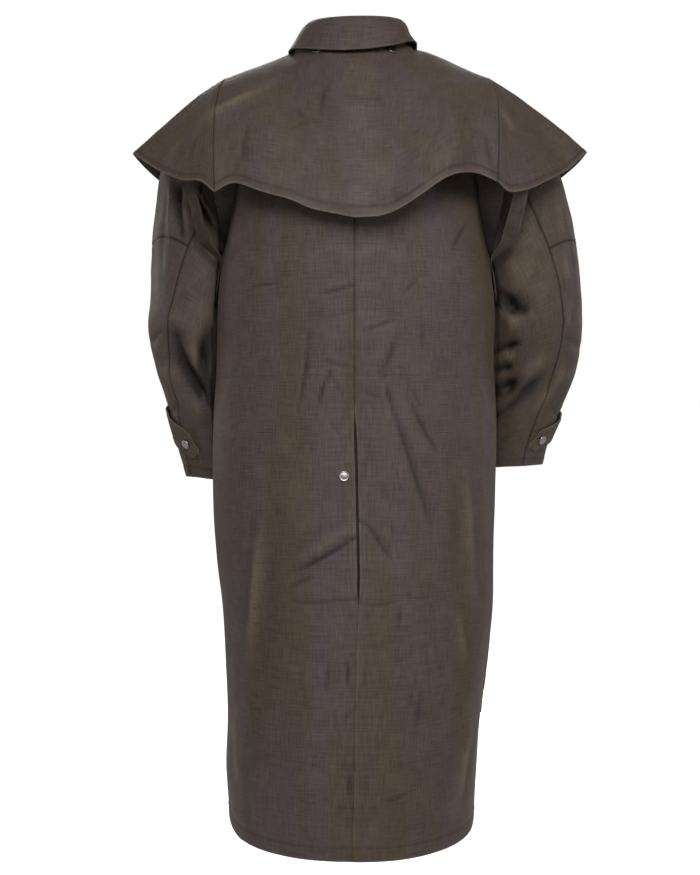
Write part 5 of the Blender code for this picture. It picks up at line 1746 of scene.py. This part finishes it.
@dataclass(frozen=True)
class Collar:
    """Stand and turned-down leaf in one, folded at the top.

    Attributes:
        neck: The coat's neck seam.
        rows: Share of the way from the neck seam over the fold to the leaf's edge, then how far out
            of the neckline and how far above it, at the back, at the side and at the front.
        end: How far round the collar's ends lie, in degrees from the centre back.
        cell: Size of the wall's cells.
        cut: Flat length round and flat height.
    """

    neck: Neckline = Neckline()
    end: float = 172.0
    cell: float = 0.0030
    cut: tuple[float, float] = (0.610, 0.124)
    rows: tuple = (
        (0.00, -0.0010, 0.0008, -0.0010, 0.0008, -0.0030, 0.0026),
        (0.20, -0.0060, 0.0240, -0.0060, 0.0170, -0.0020, 0.0070),
        (0.38, -0.0090, 0.0450, -0.0130, 0.0340, -0.0040, 0.0140),
        (0.50, -0.0030, 0.0540, -0.0100, 0.0420, 0.0040, 0.0190),
        (0.62, 0.0070, 0.0470, -0.0010, 0.0350, 0.0130, 0.0130),
        (0.80, 0.0180, 0.0210, 0.0120, 0.0180, 0.0270, -0.0040),
        (1.00, 0.0280, -0.0075, 0.0215, 0.0075, 0.0420, -0.0240),
    )

    def surface(self, u: Array, v: Array) -> Array:
        """Points: u from the right front end round the back to the left, v from seam to leaf's edge."""
        angle = (2 * u - 1) * math.radians(self.end)
        rows = np.array(self.rows)
        back_out, back_up, side_out, side_up, front_out, front_up = smooth_values(
            rows[:, 0], rows[:, 1:], v).T
        behind = np.clip(np.cos(angle), 0, 1) ** 2
        before = np.clip(-np.cos(angle), 0, 1) ** 2
        beside = 1 - behind - before
        out = back_out * behind + side_out * beside + front_out * before
        up = back_up * behind + side_up * beside + front_up * before
        placed = self.neck.at(angle) + points(out * np.sin(angle), out * np.cos(angle), up)
        raised = ease(v, 0.0, 0.4)
        near_back = np.clip(1 + np.cos(angle), 0, 1)
        placed[:, 2] -= placed[:, 0] * raised * (0.02 + 0.04 * ease(v, 0.5, 1.0)) * near_back
        placed[:, 0] -= 0.003 * raised * near_back
        placed[:, 0] += 0.010 * ease(placed[:, 0], -0.05, -0.11) * ease(v, 0.45, 0.8) * near_back
        placed[:, 2] -= 0.004 * np.sin(angle) ** 2 * ease(v, 0.6, 1.0) * near_back
        return placed

    def lay(self, u: Array, v: Array) -> Lay:
        """How the collar lies."""
        facing = -normals_of(self.surface, u, np.clip(v, 0.002, 0.998))
        spots = self.surface(u, v)
        leaf = ease(v, 0.55, 0.75)
        drawn = (0.0010 * ripple(spots, 0.050, 1.0, 2.9) + 0.0004 * ripple(spots, 0.018, 1.0, 6.6)) * leaf
        rim = np.minimum((1 - v) * self.cut[1], np.minimum(u, 1 - u) * self.cut[0])
        proud = 0.0003 * ease(rim, RIM_ROW + 0.0004, RIM_ROW - 0.0004) * leaf
        rubbed_and_painted_light = 0.45 * ease(rim, 0.003, 0.0) + 0.4 * seam_line(v - 0.5, 0.06)
        return Lay(spots + facing * drawn[:, None], facing, proud, rubbed_and_painted_light)

    def build(self, finish: Finishes) -> Piece:
        """Makes and dresses the collar."""
        marks = (RIM_ROW, self.cut[0] - RIM_ROW)
        piece = make_wall("collar_cloth", self.lay, ticks(self.cut[0], self.cell, marks),
                          ticks(self.cut[1], self.cell, (self.cut[1] - RIM_ROW,)), COLLAR_CLOTH, self.cut)
        dress(piece, finish["oilskin_collar"], "oilskin_collar", "collar")
        return piece


@dataclass(frozen=True)
class Snap:
    """A plain pewter snap cap: a low dome in a rolled rim.

    Attributes:
        radius: Its radius.
        height: Its height, without the middle of the dome.
        seat: How far it lies off the cloth.
        steps: Faces round it.
    """

    radius: float = 0.0078
    height: float = 0.0024
    seat: float = 0.0002
    steps: int = 40

    def profile(self) -> list[tuple[float, float]]:
        """Radius and height from the middle of the foot over the rim to the middle of the dome."""
        rim, top = self.radius, self.height
        rolled = [(rim - 0.0009 + 0.0009 * math.cos(turn), top * 0.55 + top * 0.45 * math.sin(turn))
                  for turn in np.radians((-60, -30, 0, 30, 60, 90, 120)).tolist()]
        dome = [(rim * share, top * (0.74 + 0.30 * (1 - share**2)))
                for share in (0.80, 0.66, 0.48, 0.28, 0.12)]
        return [(0.0, 0.0), (rim - 0.0012, 0.0), *rolled, *dome, (0.0, top * 1.04)]

    def build(self, name: str, wall: Piece, spot: Array, facing: Array,
              metal: Material) -> Piece:
        """Makes a cap and sets it down on the cloth.

        Args:
            name: The solid that it stands for.
            wall: The cloth under it.
            spot: The middle of its foot, near the cloth.
            facing: Which way the cloth faces there.
            metal: Its material.

        Returns:
            The cap.
        """
        work = bmesh.new()
        ring = [work.verts.new((x, 0.0, z)) for x, z in self.profile()]
        edges = [work.edges.new(pair) for pair in zip(ring[:-1], ring[1:])]
        bmesh.ops.spin(work, geom=ring + edges, cent=(0, 0, 0), axis=(0, 0, 1), angle=2 * math.pi,
                       steps=self.steps, use_merge=True, use_duplicate=False)
        bmesh.ops.remove_doubles(work, verts=work.verts[:], dist=1e-6)
        turn = Vector(facing).to_track_quat("Z", "Y").to_matrix()
        lifted = self.seat_height(wall, Vector(spot), turn) + self.seat
        place = Matrix.Translation(Vector(spot) + turn.col[2] * lifted) @ turn.to_4x4()
        bmesh.ops.transform(work, matrix=place, verts=work.verts[:])
        bmesh.ops.recalc_face_normals(work, faces=work.faces[:])
        cap = stand(f"{name}_cap", mesh_of(work, name))
        dress(cap, metal, "snap_metal", name)
        return cap

    def seat_height(self, wall: Piece, spot: Vector, turn: Matrix) -> float:
        """How far above the spot the cloth reaches under the cap."""
        work = bmesh.new()
        work.from_mesh(wall.data)
        tree = BVHTree.FromBMesh(work)
        work.free()
        above, heights = 0.02, []
        for radius in (0.0, self.radius * 0.5, self.radius * 0.8):
            for step in range(12):
                around = step * math.pi / 6
                start = spot + turn @ Vector((radius * math.cos(around), radius * math.sin(around), above))
                distance = tree.ray_cast(start, -turn.col[2])[3]
                if distance is not None:
                    heights.append(above - distance)
        return max(heights, default=0.0)


@dataclass(frozen=True)
class Thread:
    """Rows of lock stitches: short rounded lengths of waxed thread that lie on the cloth.

    Attributes:
        pitch: Distance from one stitch to the next.
        length: Length of a stitch.
        radius: Half its thickness.
    """

    pitch: float = 0.0034
    length: float = 0.0026
    radius: float = 0.00026

    def sew(self, name: str, rows: list[Lay], material: Material, slot: str) -> Piece:
        """Makes one piece of all the stitches of some rows.

        Args:
            name: The piece's name.
            rows: How the cloth lies along each row.
            material: The thread's material.
            slot: The record's slot of the cloth that it is in.

        Returns:
            The stitches.
        """
        work = bmesh.new()
        for row in rows:
            spots = row.spots + row.facing * (row.proud + 0.00012)[:, None]
            run = np.concatenate([[0.0], np.cumsum(np.linalg.norm(np.diff(spots, axis=0), axis=1))])
            places = np.arange(self.pitch / 2, run[-1], self.pitch)
            middle, ahead = columns_of(spots, places, run), columns_of(spots, places + 5e-4, run)
            up = columns_of(row.facing, places, run)
            for spot, facing, way in zip(middle, unit(up), unit(ahead - middle + 1e-9)):
                cross = np.cross(facing, way)
                columns = (way * self.length / 2, cross * self.radius, facing * self.radius)
                turn = Matrix([[*(column[axis] for column in columns), spot[axis]] for axis in range(3)]
                              + [[0, 0, 0, 1]])
                bmesh.ops.create_icosphere(work, subdivisions=1, radius=1.0, matrix=turn)
        bmesh.ops.recalc_face_normals(work, faces=work.faces[:])
        piece = stand(name, mesh_of(work, name))
        dress(piece, material, slot)
        return piece


def line(value: float, count: int = 240) -> Array:
    """The same value at every place of a row."""
    return np.full(count, float(value))


def sweep(start: float, stop: float, count: int = 240) -> Array:
    """Even values from start to stop."""
    return np.linspace(start, stop, count)


@dataclass
class Coat:
    """The whole coat: its parts, its snaps and its sewing.

    Attributes:
        body: Backs and fronts.
        sleeves: Left and right.
        cape: The shoulder cape.
        straps: Left and right.
        collar: The collar.
        snap: The snap cap that all the fastenings have.
        thread: The stitches.
        front_snap_heights: Heights of the front snaps.
        vent_snap: How far left of the centre the vent's snap sits, and its height.
        vent_row: How far from the vent's edge its row of stitches runs.
        cape_snaps: For each snap under the collar its side and shares across and down the cape's back.
    """

    body: Body
    sleeves: tuple[Sleeve, Sleeve]
    cape: Cape
    straps: tuple[Strap, Strap]
    collar: Collar
    snap: Snap
    thread: Thread
    front_snap_heights: tuple[float, ...] = (-0.30, -0.42, -0.54, -0.66, -0.78, -0.90)
    vent_snap: tuple[float, float] = (0.0155, -0.670)
    vent_row: float = 0.0075
    cape_snaps: tuple[tuple[Side, float, float], ...] = (
        (Side.LEFT, 0.157, 0.095), (Side.RIGHT, 0.165, 0.095))

    def build(self, finish: Finishes) -> None:
        """Makes and dresses the whole coat.

        Args:
            finish: Materials by slot.
        """
        pieces = self.body.build(finish)
        for sleeve in self.sleeves:
            pieces.update(sleeve.build(finish))
        pieces.update(self.cape.build(finish))
        for strap in self.straps:
            strap.build(finish)
        pieces["collar"] = self.collar.build(finish)
        self.fasten(pieces, finish["snap_metal"])
        self.sew(finish["thread"])

    def fasten(self, pieces: dict[str, Piece], metal: Material) -> None:
        """Sets the snap caps on their cloth.

        Args:
            pieces: The cloth pieces by name.
            metal: The caps' material.
        """
        one = np.ones(1)

        def set_down(name: str, wall: str, lay: Lay, shift: float = 0.0) -> None:
            """Sets one cap on a piece."""
            spot = lay.spots[0] + (shift, 0.0, 0.0)
            self.snap.build(name, pieces[wall], spot, lay.facing[0], metal)

        vent_x, vent_z = self.vent_snap
        back = self.body.lay(Face.BACK, Side.LEFT)
        set_down("vent_snap", "back_left", back(0 * one, self.body.share_of_height(vent_z) * one), vent_x)
        front = self.body.lay(Face.FRONT, Side.LEFT)
        for number, z in enumerate(self.front_snap_heights, 1):
            lay = front(0 * one, self.body.share_of_height(z) * one)
            set_down(f"front_snap_{number}", "front_left", lay)
        for side, c, t in self.cape_snaps:
            spot = self.cape.panel(side, Face.BACK)(c * one, t * one)
            facing = self.cape.panel_direction(side, Face.BACK)(c * one, t * one)
            set_down(f"cape_snap_{side.label}", "cape_back", Lay(spot, facing, 0 * one, 0 * one))
        for sleeve in self.sleeves:
            lay = sleeve.tab_grid(0.5 * one, sleeve.tab_snap_at * one)
            set_down(f"cuff_snap_{sleeve.side.label}", f"cuff_tab_{sleeve.side.label}", lay)

    def sew(self, material: Material) -> None:
        """Stitches every row.

        Args:
            material: The thread's material.
        """
        body, cape, collar = self.body, self.cape, self.collar
        hem_v = body.share_of_height(HEM_Z + body.hem - 0.002)
        vent_v, edge = body.share_of_height(VENT_TOP_Z), self.vent_row / body.back_cut[0]
        back_rows, front_rows = [], []
        for side in Side:
            back, front = body.lay(Face.BACK, side), body.lay(Face.FRONT, side)
            back_rows += [back(side * sweep(0.03, 0.998), line(hem_v)),
                          back(side * sweep(0.03, 0.99), line(body.share_of_height(BACK_ROW_Z))),
                          body.back_grid(side)(line(edge, 400), sweep(0.006, vent_v, 400))]
            front_rows.append(front(side * sweep(0.03, 0.998), line(hem_v)))
        fell = body.lay(Face.BACK, Side.LEFT)
        back_rows += [fell(body.q_of_x(line(body.fell - 0.0015)), sweep(vent_v, 0.80)),
                      fell(body.q_of_x(sweep(0.024, 0.001, 30)),
                           line(body.share_of_height(VENT_TOP_Z - 0.003), 30))]
        for share in (0.020, 0.176):
            front_rows.append(body.front_grid(Side.LEFT)(line(share, 400), sweep(0.006, 0.985, 400)))
        self.thread.sew("back_stitches", back_rows, material, "oilskin_back")
        self.thread.sew("front_stitches", front_rows, material, "oilskin_front")
        for sleeve in self.sleeves:
            rows = [sleeve.lay(sweep(0, 2 * math.pi), line(1 - (sleeve.hem - 0.002) / sleeve.length))]
            s, ends = sweep(0.06, 0.995, 300), []
            for back, away in ((True, SEAM_ROW), (False, -SEAM_ROW)):
                rows.append(sleeve.lay(sleeve.seam_turn(s, back) + away / sleeve.radius, s))
                ends.append(sleeve.seam_turn(np.array([sleeve.cross_seam]), back)[0])
            rows.append(sleeve.lay(sweep(*ends), line(sleeve.cross_seam + SEAM_ROW / sleeve.length)))
            rows += [sleeve.tab_grid(line(share), sweep(0.0, 0.96)) for share in (0.12, 0.88)]
            self.thread.sew(f"sleeve_{sleeve.side.label}_stitches", rows, material, "oilskin_sleeve")
        hem_t = 1 - (cape.hem - 0.0015) / cape.drop
        rows = [cape.back_grid(sweep(0, 1, 400), line(hem_t, 400))]
        away = SEAM_ROW / cape.side_cut[0]
        for side in Side:
            shoulder, front = cape.side_grid(side), cape.front_grid(side)
            rows += [shoulder(sweep(0, 1, 400), line(hem_t, 400)), front(sweep(0, 1), line(hem_t)),
                     shoulder(line(away), sweep(0.05, 1)), shoulder(line(1 - away), sweep(0.05, 1)),
                     front(line(0.03), sweep(0.05, 1))]
        self.thread.sew("cape_stitches", rows, material, "oilskin_cape")
        beside, leaf_row = RIM_ROW / collar.cut[0], 1 - RIM_ROW / collar.cut[1]
        rows = [collar.lay(sweep(0.01, 0.99, 400), line(leaf_row, 400)),
                *(collar.lay(line(share, 60), sweep(0.5, leaf_row, 60)) for share in (beside, 1 - beside))]
        self.thread.sew("collar_stitches", rows, material, "oilskin_collar")


@dataclass(frozen=True)
class Studio:
    """Plain floor, soft lights and the camera.

    Attributes:
        camera: Where the camera stands; it looks level along -Y.
        lens: Focal length in millimetres.
        floor_z: Height of the floor.
        floor_size: Half its width.
        floor_finish: Its pale, evenly lit finish.
        target: What the lights point at.
        lights: Place, size in metres and power in watts of each soft light.
        ambient: Strength of the light from all round.
    """

    camera: tuple[float, float, float] = (0.0066, 2.0, -0.612)
    lens: float = 50.0
    floor_z: float = -1.50
    floor_size: float = 30.0
    floor_finish: Plain = Plain("pale_floor", (0.60, 0.59, 0.58), 0.9, 0.0, 3.0, 0.01, 0.97)
    target: tuple[float, float, float] = (0.0, 0.0, -0.60)
    lights: tuple = (
        ((-0.2, 2.7, 1.2), 1.8, 82.0),
        ((-2.2, 1.1, 0.1), 1.0, 9.0),
        ((2.2, 1.3, -0.1), 1.0, 4.0),
        ((0.0, 0.2, 2.1), 1.2, 3.0),
        ((0.2, -2.7, 1.2), 1.8, 82.0),
        ((2.2, -1.4, 0.1), 1.0, 9.0),
        ((-2.2, -1.2, -0.1), 1.0, 5.0),
    )
    ambient: float = 0.16

    def build(self) -> None:
        """Makes the floor, the lights, the surroundings and the camera."""
        scene = bpy.context.scene
        scene.view_settings.view_transform = "Standard"
        work = bmesh.new()
        bmesh.ops.create_grid(work, x_segments=1, y_segments=1, size=self.floor_size,
                              matrix=Matrix.Translation((0, 0, self.floor_z)))
        floor = stand("floor", mesh_of(work, "floor"))
        floor.data.materials.append(self.floor_finish.material())
        for number, (place, size, power) in enumerate(self.lights, 1):
            lamp = bpy.data.lights.new(f"soft_light_{number}", "AREA")
            lamp.energy, lamp.size = power, size
            light = stand(lamp.name, lamp)
            light.location = place
            light.rotation_euler = (Vector(self.target) - Vector(place)).to_track_quat("-Z", "Y").to_euler()
        world = bpy.data.worlds.new("studio")
        world.use_nodes = True
        tree = world.node_tree
        back = tree.nodes["Background"]
        seen = put(tree, "LightPath").outputs["Is Camera Ray"]
        strength = stretch(tree, seen, (0.0, 1.0), (self.ambient, 1.0))
        back.inputs["Color"].default_value = (1.0, 1.0, 1.0, 1.0)
        tree.links.new(strength, back.inputs["Strength"])
        scene.world = world
        view = bpy.data.cameras.new("camera")
        view.lens = self.lens
        camera = stand("camera", view)
        camera.location = self.camera
        camera.rotation_euler = (math.pi / 2, 0.0, math.pi)
        scene.camera = camera


def make_finishes() -> Finishes:
    """Every finish of the coat as a material, by slot, and the sewing thread."""
    weave, wax = weave_group(), wax_group()
    cloths = (
        Oilskin("oilskin_back"),
        Oilskin("oilskin_front"),
        Oilskin("oilskin_sleeve", (0.0670, 0.0475, 0.0470), (0.0620, 0.0440, 0.0290)),
        Oilskin("oilskin_cape", (0.0640, 0.0450, 0.0430), (0.0610, 0.0435, 0.0290)),
        Oilskin("oilskin_collar", (0.0600, 0.0420, 0.0410), (0.0590, 0.0420, 0.0310)),
        Oilskin("oilskin_trim", (0.0500, 0.0355, 0.0330), (0.0500, 0.0355, 0.0250)),
    )
    made = {cloth.slot: cloth.material(weave, wax) for cloth in cloths}
    made["snap_metal"] = Plain("snap_metal", (0.40, 0.35, 0.36), 0.30, 1.0, 500.0, 0.35).material()
    made["thread"] = Plain("waxed_thread", (0.080, 0.062, 0.050), 0.6).material()
    return made


def main() -> None:
    """Builds the coat and the studio."""
    logging.basicConfig(level=logging.INFO, format="%(name)s %(message)s")
    body = Body()
    cape = Cape(body=body)
    rings = {Side.LEFT: LEFT_SLEEVE_RINGS, Side.RIGHT: RIGHT_SLEEVE_RINGS}
    coat = Coat(
        body=body,
        sleeves=tuple(Sleeve(side, body, rings[side], BACK_SEAM_TURN[side]) for side in Side),
        cape=cape,
        # The left strap is darkened with 0.35 of painted shade.
        straps=(Strap(Side.LEFT, cape, ((0.160, 0.95), (0.835, 0.95)), 0.0, 0.35, 0.6),
                Strap(Side.RIGHT, cape, ((0.140, 0.95), (0.850, 0.95)), 0.0063)),
        collar=Collar(),
        snap=Snap(),
        thread=Thread(),
    )
    coat.build(make_finishes())
    Studio().build()


if __name__ == "__main__":
    main()
